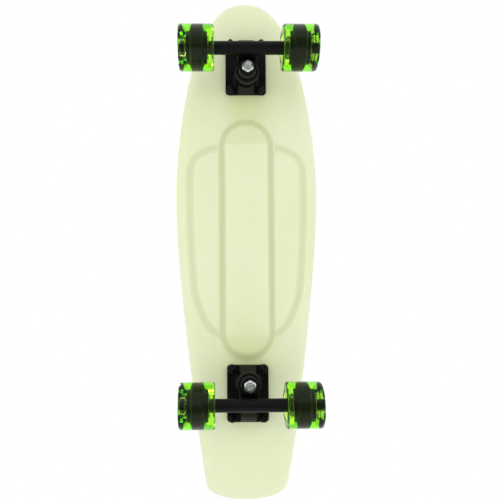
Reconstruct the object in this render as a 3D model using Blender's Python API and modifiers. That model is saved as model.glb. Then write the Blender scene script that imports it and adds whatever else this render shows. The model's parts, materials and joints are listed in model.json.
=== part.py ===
"""Plastic cruiser skateboard: moulded deck, two steering trucks and four urethane wheels.

Metres, +Z up. The board stands on its wheels, nose towards +X, its left side towards +Y.
The origin is on the ground, below the middle of the board.
A truck is drawn in its own frame: the origin on the deck's mounting plane at the middle of
the baseplate, +X towards the board's nearer end, and -Z down to the axle.
"""

import math

import bmesh
import bpy
from mathutils import Matrix, Vector

MM = 0.001
GAP = 0.3 * MM

# Deck
DECK_LENGTH = 686.0 * MM
DECK_HALF_WIDTH = 95.25 * MM
DECK_THICKNESS = 12.5 * MM
WIDEST_X = 80.0 * MM
NOSE_FULLNESS = (1.7, 2.31)
TAIL_TAPER = 0.122
TAPER_SOFTNESS = 11.0 * MM
TAIL_CORNER_X = -313.0 * MM
TIP_HALF_WIDTH = 5.0 * MM
NOSE_KICK_X = 285.0 * MM
NOSE_RISE = 7.8 * MM
TAIL_KICK_X = -228.0 * MM
TAIL_SLOPE = 0.37
TAIL_SOFTNESS = 25.0 * MM
RIM_ROUNDING = 4.0 * MM
DECK_STATIONS = 35

# Raised panels under the deck
KEEL_NOSE_X = 178.0 * MM
KEEL_TAIL_X = -143.5 * MM
KEEL_HALF_WIDTH = 35.0 * MM
KEEL_DROP = 7.0 * MM
WING_DROP = 2.5 * MM
PANEL_DRAFT = 1.5 * MM
PANEL_ROOT = 5.0 * MM

# Trucks
WHEEL_RADIUS = 28.0 * MM
TRUCK_HEIGHT = 53.0 * MM
MOUNT_Z = WHEEL_RADIUS + TRUCK_HEIGHT
FRONT_TRUCK_X = 246.0 * MM
REAR_TRUCK_X = -189.0 * MM
AXLE_X = 4.2 * MM
KINGPIN_X = -17.4 * MM
RING_CENTRE = Vector((KINGPIN_X, 0.0, -29.0 * MM))
PIVOT_POINT = Vector((24.0 * MM, 0.0, -11.5 * MM))
BOLT_X = 31.75 * MM
BOLT_Y = 20.65 * MM
BOLT_RADIUS = 2.4 * MM
BOLT_HOLE_RADIUS = 2.75 * MM
BOLT_HEAD_RADIUS = 4.5 * MM
BOLT_END = -16.0 * MM
LOCK_NUT = (9.5 * MM, 5.0 * MM)

PLATE_SIZE = (74.0 * MM, 54.4 * MM)
PLATE_THICKNESS = 4.5 * MM
PLATE_CORNER = 5.0 * MM
BOSS_HEIGHT = 11.0 * MM
RAMP_HALF_WIDTH = 10.7 * MM
HOUSING_HALF_WIDTH = 10.2 * MM

RING_RADIUS = 15.4 * MM
RING_THICKNESS = 8.6 * MM
RING_HOLE = 6.8 * MM
BAR_RADIUS = 8.2 * MM
HANGER_HALF_WIDTH = 50.8 * MM
NECK_HALF_WIDTH = 12.0 * MM
WEB_X = 4.5 * MM
WEB_THICKNESS = 7.0 * MM

AXLE_RADIUS = 4.0 * MM
AXLE_HALF_LENGTH = 86.5 * MM
AXLE_CHAMFER = 0.8 * MM
AXLE_NUT = (12.7 * MM, 6.5 * MM)
AXLE_NUT_SEAT_Y = 77.3 * MM

KINGPIN_RADIUS = 4.76 * MM
KINGPIN_HEAD_RADIUS = 8.0 * MM
KINGPIN_HEAD = 5.0 * MM
KINGPIN_TOP = -0.8 * MM
KINGPIN_END = -55.5 * MM
KINGPIN_NUT = (14.3 * MM, 7.0 * MM)
KINGPIN_NUT_SEAT = -45.7 * MM

# Rings on the kingpin: radius, top, bottom and chamfer, all with the same bore
KINGPIN_BORE = KINGPIN_RADIUS + GAP
LOWER_WASHER = (13.0 * MM, -11.3 * MM, -12.8 * MM, 0.0)
LOWER_BUSHING = (12.2 * MM, -13.1 * MM, -24.4 * MM, 1.5 * MM)
UPPER_BUSHING = (11.2 * MM, -33.6 * MM, -43.6 * MM, 1.5 * MM)
UPPER_WASHER = (10.8 * MM, -43.9 * MM, -45.4 * MM, 0.0)

CUP_RADIUS = 7.0 * MM
CUP_BORE = 5.0 * MM
PIVOT_RADIUS = 4.6 * MM

# Wheels, measured outwards along the axle from the board's centre plane
WHEEL_INNER_Y = 42.6 * MM
WHEEL_OUTER_Y = 86.8 * MM
CORE_INNER_Y = 52.0 * MM
CORE_OUTER_Y = 76.0 * MM
CORE_SEAT_RADIUS = 13.0 * MM
BEARING_RADIUS = 11.0 * MM
BEARING_WIDTH = 7.0 * MM

# Sides of the round pieces
ROUND = 28
FINE = 24
BEARING_SIDES = 20
SMALL = 12


def clear_scene():
    """Remove whatever the file holds."""
    for item in list(bpy.data.objects):
        bpy.data.objects.remove(item, do_unlink=True)


clear_scene()
parts = bpy.data.collections.new("skateboard")
cutters = bpy.data.collections.new("skateboard_cutters")
bpy.context.scene.collection.children.link(parts)
bpy.context.scene.collection.children.link(cutters)


def material(name, color, roughness, metallic=0.0, transmission=0.0):
    """A plain finish for one kind of part."""
    finish = bpy.data.materials.new(name)
    finish.use_nodes = True
    shader = finish.node_tree.nodes["Principled BSDF"]
    shader.inputs["Base Color"].default_value = (*color, 1.0)
    shader.inputs["Roughness"].default_value = roughness
    shader.inputs["Metallic"].default_value = metallic
    shader.inputs["Transmission Weight"].default_value = transmission
    return finish


FINISHES = {
    "deck": material("milky_glow_plastic", (0.78, 0.86, 0.56), 0.45),
    "truck": material("black_truck_metal", (0.012, 0.012, 0.014), 0.4, 0.6),
    "steel": material("black_steel", (0.02, 0.02, 0.022), 0.35, 0.9),
    "zinc": material("bright_zinc", (0.72, 0.73, 0.74), 0.25, 1.0),
    "bushing": material("black_bushing_urethane", (0.015, 0.015, 0.015), 0.5),
    "cup": material("pivot_cup_plastic", (0.03, 0.03, 0.03), 0.6),
    "tyre": material("clear_green_urethane", (0.25, 0.78, 0.04), 0.15, 0.0, 0.6),
    "core": material("black_core_plastic", (0.01, 0.012, 0.01), 0.5),
    "bearing": material("bearing_steel", (0.5, 0.5, 0.52), 0.3, 1.0),
}


# Modelling helpers. Each gives a mesh object in the frame it is drawn in.

def add_object(name, mesh, collection=parts):
    item = bpy.data.objects.new(name, mesh)
    collection.objects.link(item)
    return item


def helper(name, bm):
    """A construction solid, later joined or cut into a part."""
    mesh = bpy.data.meshes.new(name)
    bm.to_mesh(mesh)
    bm.free()
    item = add_object(name, mesh, cutters)
    item.display_type = "WIRE"
    item.hide_render = True
    return item


def turned(name, profile, segments=FINE, closed=False):
    """Turn a profile of (radius, height) points, listed top to bottom on its outer side."""
    mesh = bpy.data.meshes.new(name)
    points = [(radius, 0.0, height) for radius, height in profile]
    edges = [(i, i + 1) for i in range(len(points) - 1)]
    if closed:
        edges.append((len(points) - 1, 0))
    mesh.from_pydata(points, edges, [])
    item = add_object(name, mesh, cutters)
    item.display_type = "WIRE"
    item.hide_render = True
    screw = item.modifiers.new("turn", "SCREW")
    screw.steps = segments
    screw.render_steps = segments
    screw.use_merge_vertices = True
    screw.merge_threshold = 0.00001
    return item


def cylinder(name, radius, length, centre=(0, 0, 0), turn=None, segments=FINE):
    bm = bmesh.new()
    ends = {"radius1": radius, "radius2": radius, "depth": length}
    bmesh.ops.create_cone(bm, cap_ends=True, segments=segments, **ends)
    bm.transform(Matrix.Translation(centre) @ (turn or Matrix.Identity(4)))
    return helper(name, bm)


def slab(name, size, centre, corner=0.0):
    """A box whose upright edges are rounded."""
    bm = bmesh.new()
    bmesh.ops.create_cube(bm, size=1.0)
    bmesh.ops.scale(bm, vec=size, verts=bm.verts)
    if corner:
        upright = [e for e in bm.edges if abs(e.verts[0].co.z - e.verts[1].co.z) > 1e-6]
        bmesh.ops.bevel(bm, geom=upright, offset=corner, segments=4, profile=0.5, affect="EDGES")
    bmesh.ops.translate(bm, vec=centre, verts=bm.verts)
    return helper(name, bm)


def from_outline(name, outline, half_thickness, place=None, chamfer=0.0, smooth=0):
    """A flat outline with a thickness; chamfer draws its edges in towards both faces."""
    curve = bpy.data.curves.new(name, "CURVE")
    curve.dimensions = "2D"
    curve.fill_mode = "BOTH"
    curve.extrude = half_thickness - chamfer
    curve.bevel_depth = chamfer
    curve.bevel_resolution = 0
    curve.offset = -chamfer
    spline = curve.splines.new("BEZIER" if smooth else "POLY")
    if smooth:
        curve.resolution_u = smooth
        spline.bezier_points.add(len(outline) - 1)
        for knot, point in zip(spline.bezier_points, outline):
            knot.co = (*point, 0.0)
            knot.handle_left_type = "AUTO"
            knot.handle_right_type = "AUTO"
    else:
        spline.points.add(len(outline) - 1)
        for knot, point in zip(spline.points, outline):
            knot.co = (*point, 0.0, 1.0)
    spline.use_cyclic_u = True
    drawn = add_object(name + "_outline", curve, cutters)
    bpy.context.view_layer.update()
    depsgraph = bpy.context.evaluated_depsgraph_get()
    mesh = bpy.data.meshes.new_from_object(drawn.evaluated_get(depsgraph))
    bpy.data.objects.remove(drawn, do_unlink=True)
    bm = bmesh.new()
    bm.from_mesh(mesh)
    bmesh.ops.remove_doubles(bm, verts=bm.verts, dist=0.00001)
    bmesh.ops.recalc_face_normals(bm, faces=bm.faces)
    if place:
        bm.transform(place)
    bpy.data.meshes.remove(mesh)
    return helper(name, bm)


def boolean(item, operation, tool):
    change = item.modifiers.new(tool.name, "BOOLEAN")
    change.operation = operation
    change.object = tool
    change.solver = "EXACT"


def finished_mesh(item, joins=(), cuts=(), smooth_angle=35.0):
    """The mesh of a construction solid with its joins and cuts made; the solids are removed."""
    for tool in joins:
        boolean(item, "UNION", tool)
    for tool in cuts:
        boolean(item, "DIFFERENCE", tool)
    bpy.context.view_layer.update()
    depsgraph = bpy.context.evaluated_depsgraph_get()
    mesh = bpy.data.meshes.new_from_object(item.evaluated_get(depsgraph))
    mesh.name = item.name
    for used in (item, *joins, *cuts):
        bpy.data.objects.remove(used, do_unlink=True)
    mesh.shade_smooth()
    mesh.set_sharp_from_angle(angle=math.radians(smooth_angle))
    return mesh


def place(name, mesh, finish, parent=None, location=(0, 0, 0), rotation=(0, 0, 0)):
    """Put one piece on the board; its mesh may be shared with its twins."""
    if not mesh.materials:
        mesh.materials.append(FINISHES[finish])
    item = add_object(name, mesh)
    item.location = location
    item.rotation_euler = rotation
    item.parent = parent
    return item


def empty(name, location, rotation=(0, 0, 0), parent=None):
    marker = bpy.data.objects.new(name, None)
    parts.objects.link(marker)
    marker.location = location
    marker.rotation_euler = rotation
    marker.parent = parent
    return marker


def mm(*points):
    """Outline points given in millimetres."""
    return [(a * MM, b * MM) for a, b in points]


ACROSS = Matrix.Rotation(math.radians(90.0), 4, "X")
FRONT_VIEW = Matrix.Rotation(math.radians(90.0), 4, "Z") @ Matrix.Rotation(math.radians(90.0), 4, "X")
STEER_SLOPE = math.atan2(PIVOT_POINT.z - RING_CENTRE.z, PIVOT_POINT.x - RING_CENTRE.x)
ALONG_PIVOT = Matrix.Rotation(math.radians(90.0) - STEER_SLOPE, 4, "Y")


# Deck

def half_width(x):
    """Half the deck's width at a distance x forward of its middle."""
    if x > WIDEST_X:
        t = min((x - WIDEST_X) / (DECK_LENGTH / 2 - WIDEST_X), 1.0)
        width = DECK_HALF_WIDTH * (1.0 - t ** NOSE_FULLNESS[0]) ** (1.0 / NOSE_FULLNESS[1])
    else:
        drop = math.hypot(TAIL_TAPER * (WIDEST_X - x), TAPER_SOFTNESS) - TAPER_SOFTNESS
        width = DECK_HALF_WIDTH - drop
        if x < TAIL_CORNER_X:
            u = min((TAIL_CORNER_X - x) / (DECK_LENGTH / 2 + TAIL_CORNER_X), 1.0)
            width *= math.sqrt(1.0 - u ** 3)
    return max(width, TIP_HALF_WIDTH)


def rise(x):
    """How far the deck bends up at its nose and at its kicktail."""
    if x > NOSE_KICK_X:
        return NOSE_RISE * ((x - NOSE_KICK_X) / (DECK_LENGTH / 2 - NOSE_KICK_X)) ** 1.8
    if x < TAIL_KICK_X:
        return TAIL_SLOPE * (math.hypot(TAIL_KICK_X - x, TAIL_SOFTNESS) - TAIL_SOFTNESS)
    return 0.0


def keel_outline():
    """A stadium along the board's middle."""
    arc = [math.radians(-90.0 + 180.0 * i / 8) for i in range(9)]
    radius = KEEL_HALF_WIDTH
    nose = [(KEEL_NOSE_X - radius + radius * math.cos(a), radius * math.sin(a)) for a in arc]
    tail = [(KEEL_TAIL_X + radius - radius * math.cos(a), -radius * math.sin(a)) for a in arc]
    return nose + tail


WING_SIDE = mm((137, 36), (132, 60), (115, 76), (63, 81), (10, 79.5), (-55, 73), (-90, 60), (-117, 36))


def deck_hole(x, y):
    """Clearance for a countersunk mounting bolt."""
    top = DECK_THICKNESS + GAP
    wide = BOLT_HEAD_RADIUS + 0.5 * MM
    profile = [
        (0.0, top + 1.0 * MM),
        (wide, top + 1.0 * MM),
        (wide, top - 0.6 * MM),
        (BOLT_HOLE_RADIUS, top - 3.1 * MM),
        (BOLT_HOLE_RADIUS, -3.0 * MM),
        (0.0, -3.0 * MM),
    ]
    hole = turned("bolt_hole", profile, SMALL)
    hole.location = (x, y, MOUNT_Z)
    return hole


def flat_deck_mesh():
    """The deck's outline with its thickness and rounded rim, before it is bent."""
    bm = bmesh.new()
    bmesh.ops.create_grid(bm, x_segments=DECK_STATIONS, y_segments=2, size=1.0)
    for vert in bm.verts:
        x = DECK_LENGTH / 2 * math.sin(vert.co.x * math.pi / 2)
        vert.co = Vector((x, vert.co.y * half_width(x), MOUNT_Z + DECK_THICKNESS))
    sheet = helper("deck", bm)
    shell = sheet.modifiers.new("thickness", "SOLIDIFY")
    shell.thickness = DECK_THICKNESS
    shell.offset = -1.0
    edge = sheet.modifiers.new("rounded_rim", "BEVEL")
    edge.width = RIM_ROUNDING
    edge.segments = 2
    edge.limit_method = "ANGLE"
    edge.angle_limit = math.radians(50.0)
    return finished_mesh(sheet)


def build_deck():
    mesh = flat_deck_mesh()
    for vert in mesh.vertices:
        vert.co.z += rise(vert.co.x)
    deck = place("deck", mesh, "deck")

    wing = WING_SIDE + [(x, -y) for x, y in reversed(WING_SIDE)]
    for name, outline, drop, smooth in (
        ("wings", wing, WING_DROP, 3),
        ("keel", keel_outline(), KEEL_DROP, 0),
    ):
        level = Matrix.Translation((0.0, 0.0, MOUNT_Z + (PANEL_ROOT - drop) / 2))
        panel = from_outline(name, outline, (PANEL_ROOT + drop) / 2, level, PANEL_DRAFT, smooth)
        boolean(deck, "UNION", panel)
    for truck_x in (FRONT_TRUCK_X, REAR_TRUCK_X):
        for x in (-BOLT_X, BOLT_X):
            for y in (-BOLT_Y, BOLT_Y):
                boolean(deck, "DIFFERENCE", deck_hole(truck_x + x, y))
    return deck


# Truck pieces, each drawn once in the truck's frame

def baseplate_mesh():
    plate_centre = (0.0, 0.0, -GAP - PLATE_THICKNESS / 2)
    plate = slab("baseplate", (*PLATE_SIZE, PLATE_THICKNESS), plate_centre, PLATE_CORNER)
    boss = turned("boss", [
        (0.0, -2.0 * MM),
        (17.0 * MM, -2.0 * MM),
        (17.0 * MM, -5.5 * MM),
        (14.0 * MM, -BOSS_HEIGHT),
        (0.0, -BOSS_HEIGHT),
    ])
    boss.location.x = KINGPIN_X
    ramp_side = mm((-36.4, -3.0), (-36.4, -5.6), (-28.5, -8.6), (-20.0, -8.6), (-20.0, -3.0))
    ramp = from_outline("ramp", ramp_side, RAMP_HALF_WIDTH, ACROSS)
    housing_side = mm(
        (14.5, -3.0), (14.5, -16.0), (16.5, -22.0), (26.5, -21.2), (31.6, -17.2), (36.5, -3.0),
    )
    housing = from_outline("pivot_housing", housing_side, HOUSING_HALF_WIDTH, ACROSS)
    pocket_spot = (KINGPIN_X, 0.0, -2.7 * MM)
    pocket = cylinder("head_pocket", KINGPIN_HEAD_RADIUS + 0.7 * MM, 6.4 * MM, pocket_spot, None, SMALL)
    bore_spot = (KINGPIN_X, 0.0, -8.0 * MM)
    bore = cylinder("kingpin_bore", KINGPIN_RADIUS + GAP, 24.0 * MM, bore_spot, None, SMALL)
    cup_end = 4.0 * MM
    cup_depth = 30.0 * MM
    middle = PIVOT_POINT + ALONG_PIVOT.to_3x3() @ Vector((0.0, 0.0, cup_end - cup_depth / 2))
    seat = cylinder("cup_seat", CUP_RADIUS + GAP, cup_depth, middle, ALONG_PIVOT)
    cuts = [pocket, bore, seat]
    for x in (-BOLT_X, BOLT_X):
        for y in (-BOLT_Y, BOLT_Y):
            cuts.append(cylinder("plate_hole", BOLT_HOLE_RADIUS, 20.0 * MM, (x, y, 0.0), None, SMALL))
    return finished_mesh(plate, (boss, ramp, housing), cuts)


def hanger_mesh():
    """Axle bar, neck, ring around the kingpin, and pivot nose, about the ring's centre."""
    ring = cylinder("hanger", RING_RADIUS, RING_THICKNESS, RING_CENTRE, None, ROUND)
    bar_centre = (AXLE_X, 0.0, -TRUCK_HEIGHT)
    bar = cylinder("bar", BAR_RADIUS, 2 * HANGER_HALF_WIDTH, bar_centre, ACROSS, FINE)
    neck_side = mm(
        (-9, -25), (-9, -33), (-4.2, -33.2), (-3.4, -45), (0, -54), (8, -54),
        (11.5, -45), (12.0, -32), (9.0, -20), (-0.5, -15.8), (-3, -24.8),
    )
    neck = from_outline("neck", neck_side, NECK_HALF_WIDTH, ACROSS)
    web_front = mm((-43, -53), (-11, -35), (11, -35), (43, -53))
    web_place = Matrix.Translation((WEB_X, 0, 0)) @ FRONT_VIEW
    web = from_outline("web", web_front, WEB_THICKNESS / 2, web_place)
    nose = turned("pivot_nose", [
        (0.0, 2.6 * MM),
        (2.6 * MM, 1.9 * MM),
        (PIVOT_RADIUS, -0.6 * MM),
        (PIVOT_RADIUS, -12.0 * MM),
        (8.0 * MM, -16.5 * MM),
        (9.0 * MM, -26.5 * MM),
        (0.0, -26.5 * MM),
    ])
    nose.matrix_world = Matrix.Translation(PIVOT_POINT) @ ALONG_PIVOT
    hole = cylinder("ring_hole", RING_HOLE, 12.0 * MM, RING_CENTRE, None, FINE)
    axle_length = 2 * AXLE_HALF_LENGTH + 10 * MM
    axle_hole = cylinder("axle_hole", AXLE_RADIUS + GAP, axle_length, bar_centre, ACROSS, SMALL)
    mesh = finished_mesh(ring, (bar, neck, web, nose), (hole, axle_hole))
    mesh.transform(Matrix.Translation(-RING_CENTRE))
    return mesh


def ring_mesh(name, size, inner, segments=FINE):
    """A washer, bushing or bearing of (radius, top, bottom, chamfer) about its own axis."""
    outer, top, bottom, chamfer = size
    if chamfer:
        wall = [(outer - chamfer, top), (outer, top - chamfer)]
        wall += [(outer, bottom + chamfer), (outer - chamfer, bottom)]
    else:
        wall = [(outer, top), (outer, bottom)]
    profile = [(inner, top), *wall, (inner, bottom)]
    return finished_mesh(turned(name, profile, segments, closed=True))


def hex_nut_mesh(name, size, hole):
    """A hexagon of (distance across flats, height) with a hole, standing up +Z from its seat."""
    across_flats, height = size
    body = cylinder(name, across_flats / math.sqrt(3.0), height, (0, 0, height / 2), None, 6)
    bore = cylinder("bore", hole, 3 * height, (0, 0, 0), None, SMALL)
    return finished_mesh(body, (), (bore,), 20.0)


def kingpin_mesh():
    head = turned("kingpin", [
        (0.0, KINGPIN_TOP),
        (KINGPIN_HEAD_RADIUS, KINGPIN_TOP),
        (KINGPIN_HEAD_RADIUS, KINGPIN_TOP - KINGPIN_HEAD),
        (KINGPIN_RADIUS, KINGPIN_TOP - KINGPIN_HEAD),
        (KINGPIN_RADIUS, KINGPIN_END + 1.0 * MM),
        (KINGPIN_RADIUS - 1.0 * MM, KINGPIN_END),
        (0.0, KINGPIN_END),
    ], SMALL)
    return finished_mesh(head)


def pivot_cup_mesh():
    """A cup about the pivot point, its closed end towards +Z."""
    cup = turned("pivot_cup", [
        (0.0, 3.7 * MM),
        (CUP_RADIUS, 3.7 * MM),
        (CUP_RADIUS, -8.5 * MM),
        (CUP_BORE, -8.5 * MM),
        (CUP_BORE, 1.0 * MM),
        (3.2 * MM, 2.9 * MM),
        (0.0, 2.9 * MM),
    ], SMALL)
    return finished_mesh(cup)


def bolt_mesh():
    """Countersunk mounting bolt, its head's face at the deck's top."""
    top = DECK_THICKNESS
    bolt = turned("mounting_bolt", [
        (0.0, top - 0.1 * MM),
        (BOLT_HEAD_RADIUS, top - 0.1 * MM),
        (BOLT_HEAD_RADIUS, top - 0.5 * MM),
        (BOLT_RADIUS, top - 2.9 * MM),
        (BOLT_RADIUS, BOLT_END),
        (0.0, BOLT_END),
    ], SMALL)
    return finished_mesh(bolt)


def build_truck(end, truck_x, heading, meshes):
    """One truck, its wheels left out, hung under the deck."""
    mount = empty(end + "_truck", (truck_x, 0.0, MOUNT_Z), (0.0, 0.0, heading))
    steer = empty(end + "_steering", RING_CENTRE, (0.0, 0.0, 0.0), mount)
    axle_spot = Vector((AXLE_X, 0.0, -TRUCK_HEIGHT)) - RING_CENTRE
    place(end + "_baseplate", meshes["baseplate"], "truck", mount)
    cup_turn = ALONG_PIVOT.to_euler()
    place(end + "_pivot_cup", meshes["pivot_cup"], "cup", mount, PIVOT_POINT, cup_turn)
    for piece, finish in (
        ("kingpin", "steel"),
        ("lower_washer", "steel"),
        ("lower_bushing", "bushing"),
        ("upper_bushing", "bushing"),
        ("upper_washer", "steel"),
    ):
        spot = (KINGPIN_X, 0.0, 0.0)
        place(end + "_" + piece, meshes[piece], finish, mount, spot)
    nut_spot = (KINGPIN_X, 0.0, KINGPIN_NUT_SEAT)
    place(end + "_kingpin_nut", meshes["kingpin_nut"], "zinc", mount, nut_spot, (math.pi, 0.0, 0.0))
    place(end + "_hanger", meshes["hanger"], "truck", steer)
    place(end + "_axle", meshes["axle"], "steel", steer, axle_spot, (math.radians(90.0), 0.0, 0.0))
    number = 0
    for x in (-BOLT_X, BOLT_X):
        for y in (-BOLT_Y, BOLT_Y):
            number += 1
            seat = (x, y, -GAP - PLATE_THICKNESS - GAP)
            place(f"{end}_mounting_bolt_{number}", meshes["bolt"], "steel", mount, (x, y, 0.0))
            place(f"{end}_lock_nut_{number}", meshes["lock_nut"], "steel", mount, seat, (math.pi, 0, 0))
    return steer, axle_spot


# Wheel pieces, drawn with +Z outwards along the axle from the board's centre plane

CORE_WEB = mm((13.0, 54.75), (20.0, 58.2), (20.0, 69.8), (13.0, 73.25))
TREAD_ROUNDING = 4.0 * MM


def tyre_mesh():
    """Urethane around the core, with a rounded tread edge and a dished face on each side."""
    edge = TREAD_ROUNDING
    crown = WHEEL_RADIUS - edge
    grip = CORE_SEAT_RADIUS + GAP
    arc = [math.radians(a) for a in (0.0, 45.0, 90.0)]
    outer = [(crown + edge * math.sin(a), WHEEL_OUTER_Y - edge + edge * math.cos(a)) for a in arc]
    inner = [(crown + edge * math.cos(a), WHEEL_INNER_Y + edge - edge * math.sin(a)) for a in arc]
    around_core = [(radius + GAP, y) for radius, y in CORE_WEB]
    outer_dish = [
        (14.6 * MM, CORE_OUTER_Y + 0.6 * MM),
        (19.0 * MM, CORE_OUTER_Y + 5.2 * MM),
        (21.6 * MM, WHEEL_OUTER_Y),
    ]
    inner_dish = [(17.5 * MM, WHEEL_INNER_Y), (15.0 * MM, CORE_INNER_Y - 1.0 * MM), (grip, CORE_INNER_Y)]
    profile = outer_dish + outer + inner + inner_dish + around_core + [(grip, CORE_OUTER_Y)]
    return finished_mesh(turned("tyre", profile, ROUND, closed=True))


def core_mesh():
    """Moulded core with a bearing seat at each end and a rim that holds the urethane."""
    seat = BEARING_RADIUS + GAP
    shoulder = 8.5 * MM
    profile = [
        (seat, CORE_OUTER_Y),
        (CORE_SEAT_RADIUS, CORE_OUTER_Y),
        *reversed(CORE_WEB),
        (CORE_SEAT_RADIUS, CORE_INNER_Y),
        (seat, CORE_INNER_Y),
        (seat, CORE_INNER_Y + BEARING_WIDTH + GAP),
        (shoulder, CORE_INNER_Y + BEARING_WIDTH + GAP),
        (shoulder, CORE_OUTER_Y - BEARING_WIDTH - GAP),
        (seat, CORE_OUTER_Y - BEARING_WIDTH - GAP),
    ]
    return finished_mesh(turned("core", profile, FINE, closed=True))


def bearing_mesh():
    """A ball bearing's outer size, centred on the origin."""
    size = (BEARING_RADIUS, BEARING_WIDTH / 2, -BEARING_WIDTH / 2, 0.0)
    return ring_mesh("bearing", size, AXLE_RADIUS + GAP, BEARING_SIDES)


def build_wheel(name, side, steer, axle_spot, meshes):
    """Tyre, core and bearings on one end of an axle; side is +1 or -1 along the truck's Y."""
    turn = (math.radians(-90.0 * side), 0.0, 0.0)
    place(name + "_tyre", meshes["tyre"], "tyre", steer, axle_spot, turn)
    place(name + "_core", meshes["core"], "core", steer, axle_spot, turn)
    bearings = (
        ("inner", CORE_INNER_Y + BEARING_WIDTH / 2),
        ("outer", CORE_OUTER_Y - BEARING_WIDTH / 2),
    )
    for label, distance in bearings:
        spot = axle_spot + Vector((0.0, side * distance, 0.0))
        place(f"{name}_{label}_bearing", meshes["bearing"], "bearing", steer, spot, turn)
    nut_spot = axle_spot + Vector((0.0, side * AXLE_NUT_SEAT_Y, 0.0))
    place(name + "_axle_nut", meshes["axle_nut"], "steel", steer, nut_spot, turn)


def axle_mesh():
    half = AXLE_HALF_LENGTH
    tip = AXLE_RADIUS - AXLE_CHAMFER
    profile = [
        (0.0, half),
        (tip, half),
        (AXLE_RADIUS, half - AXLE_CHAMFER),
        (AXLE_RADIUS, -half + AXLE_CHAMFER),
        (tip, -half),
        (0.0, -half),
    ]
    return finished_mesh(turned("axle", profile, SMALL))


build_deck()
truck_meshes = {
    "baseplate": baseplate_mesh(),
    "hanger": hanger_mesh(),
    "pivot_cup": pivot_cup_mesh(),
    "kingpin": kingpin_mesh(),
    "axle": axle_mesh(),
    "lower_washer": ring_mesh("lower_washer", LOWER_WASHER, KINGPIN_BORE),
    "lower_bushing": ring_mesh("lower_bushing", LOWER_BUSHING, KINGPIN_BORE),
    "upper_bushing": ring_mesh("upper_bushing", UPPER_BUSHING, KINGPIN_BORE),
    "upper_washer": ring_mesh("upper_washer", UPPER_WASHER, KINGPIN_BORE),
    "kingpin_nut": hex_nut_mesh("kingpin_nut", KINGPIN_NUT, KINGPIN_BORE),
    "bolt": bolt_mesh(),
    "lock_nut": hex_nut_mesh("lock_nut", LOCK_NUT, BOLT_HOLE_RADIUS),
}
wheel_meshes = {
    "tyre": tyre_mesh(),
    "core": core_mesh(),
    "bearing": bearing_mesh(),
    "axle_nut": hex_nut_mesh("axle_nut", AXLE_NUT, AXLE_RADIUS + GAP),
}
for truck_end, position, turned_by in (("front", FRONT_TRUCK_X, 0.0), ("rear", REAR_TRUCK_X, math.pi)):
    steering, spindle = build_truck(truck_end, position, turned_by, truck_meshes)
    left = 1 if truck_end == "front" else -1
    build_wheel(truck_end + "_left", left, steering, spindle, wheel_meshes)
    build_wheel(truck_end + "_right", -left, steering, spindle, wheel_meshes)
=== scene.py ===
"""Looks of a plastic cruiser skateboard: milky moulded deck, black trucks, clear green wheels."""
import json
import math

import bmesh
import bpy
import numpy as np
from mathutils import Euler, Matrix, Vector


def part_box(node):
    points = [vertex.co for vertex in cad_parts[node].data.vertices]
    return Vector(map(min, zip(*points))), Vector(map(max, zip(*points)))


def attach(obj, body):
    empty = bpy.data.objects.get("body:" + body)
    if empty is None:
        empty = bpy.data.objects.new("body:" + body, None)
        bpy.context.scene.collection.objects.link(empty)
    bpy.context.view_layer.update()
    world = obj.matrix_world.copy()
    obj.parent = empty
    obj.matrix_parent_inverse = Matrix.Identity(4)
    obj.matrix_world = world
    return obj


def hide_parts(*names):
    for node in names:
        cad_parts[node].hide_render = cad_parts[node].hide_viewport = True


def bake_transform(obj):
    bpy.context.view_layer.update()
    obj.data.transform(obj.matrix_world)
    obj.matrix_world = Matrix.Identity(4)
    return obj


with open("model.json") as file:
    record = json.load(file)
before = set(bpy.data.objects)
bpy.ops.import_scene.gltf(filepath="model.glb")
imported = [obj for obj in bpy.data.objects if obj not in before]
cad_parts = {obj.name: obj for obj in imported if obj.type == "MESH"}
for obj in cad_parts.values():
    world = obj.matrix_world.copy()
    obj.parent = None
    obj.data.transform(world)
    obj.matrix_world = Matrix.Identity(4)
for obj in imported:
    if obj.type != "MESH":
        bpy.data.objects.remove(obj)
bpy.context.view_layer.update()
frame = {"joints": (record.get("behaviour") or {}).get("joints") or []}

MM = 0.001
GAP = 0.3 * MM
SCENE = bpy.context.scene

# ---------------- places taken from the frame

DECK_LOW, DECK_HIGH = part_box("deck")
NOSE_TIP, TAIL_TIP = DECK_HIGH.x, DECK_LOW.x
MOUNT_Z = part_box("front_baseplate")[1].z + GAP
JOINTS = {joint["name"]: joint for joint in frame["joints"]}


def middle(node):
    low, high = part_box(node)
    return (low + high) / 2


class Truck:
    """One truck's own frame: origin on the mounting plane, +X towards its end of the board."""

    def __init__(self, end, heading):
        plate = middle(end + "_baseplate")
        self.end = end
        self.body = end + "_hanger"
        self.out = 1.0 if heading == 0 else -1.0
        self.origin = Vector((plate.x, 0.0, MOUNT_Z))
        self.place = Matrix.Translation(self.origin) @ Matrix.Rotation(heading, 4, "Z")

    def local(self, point):
        return self.place.inverted() @ Vector(point)


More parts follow.
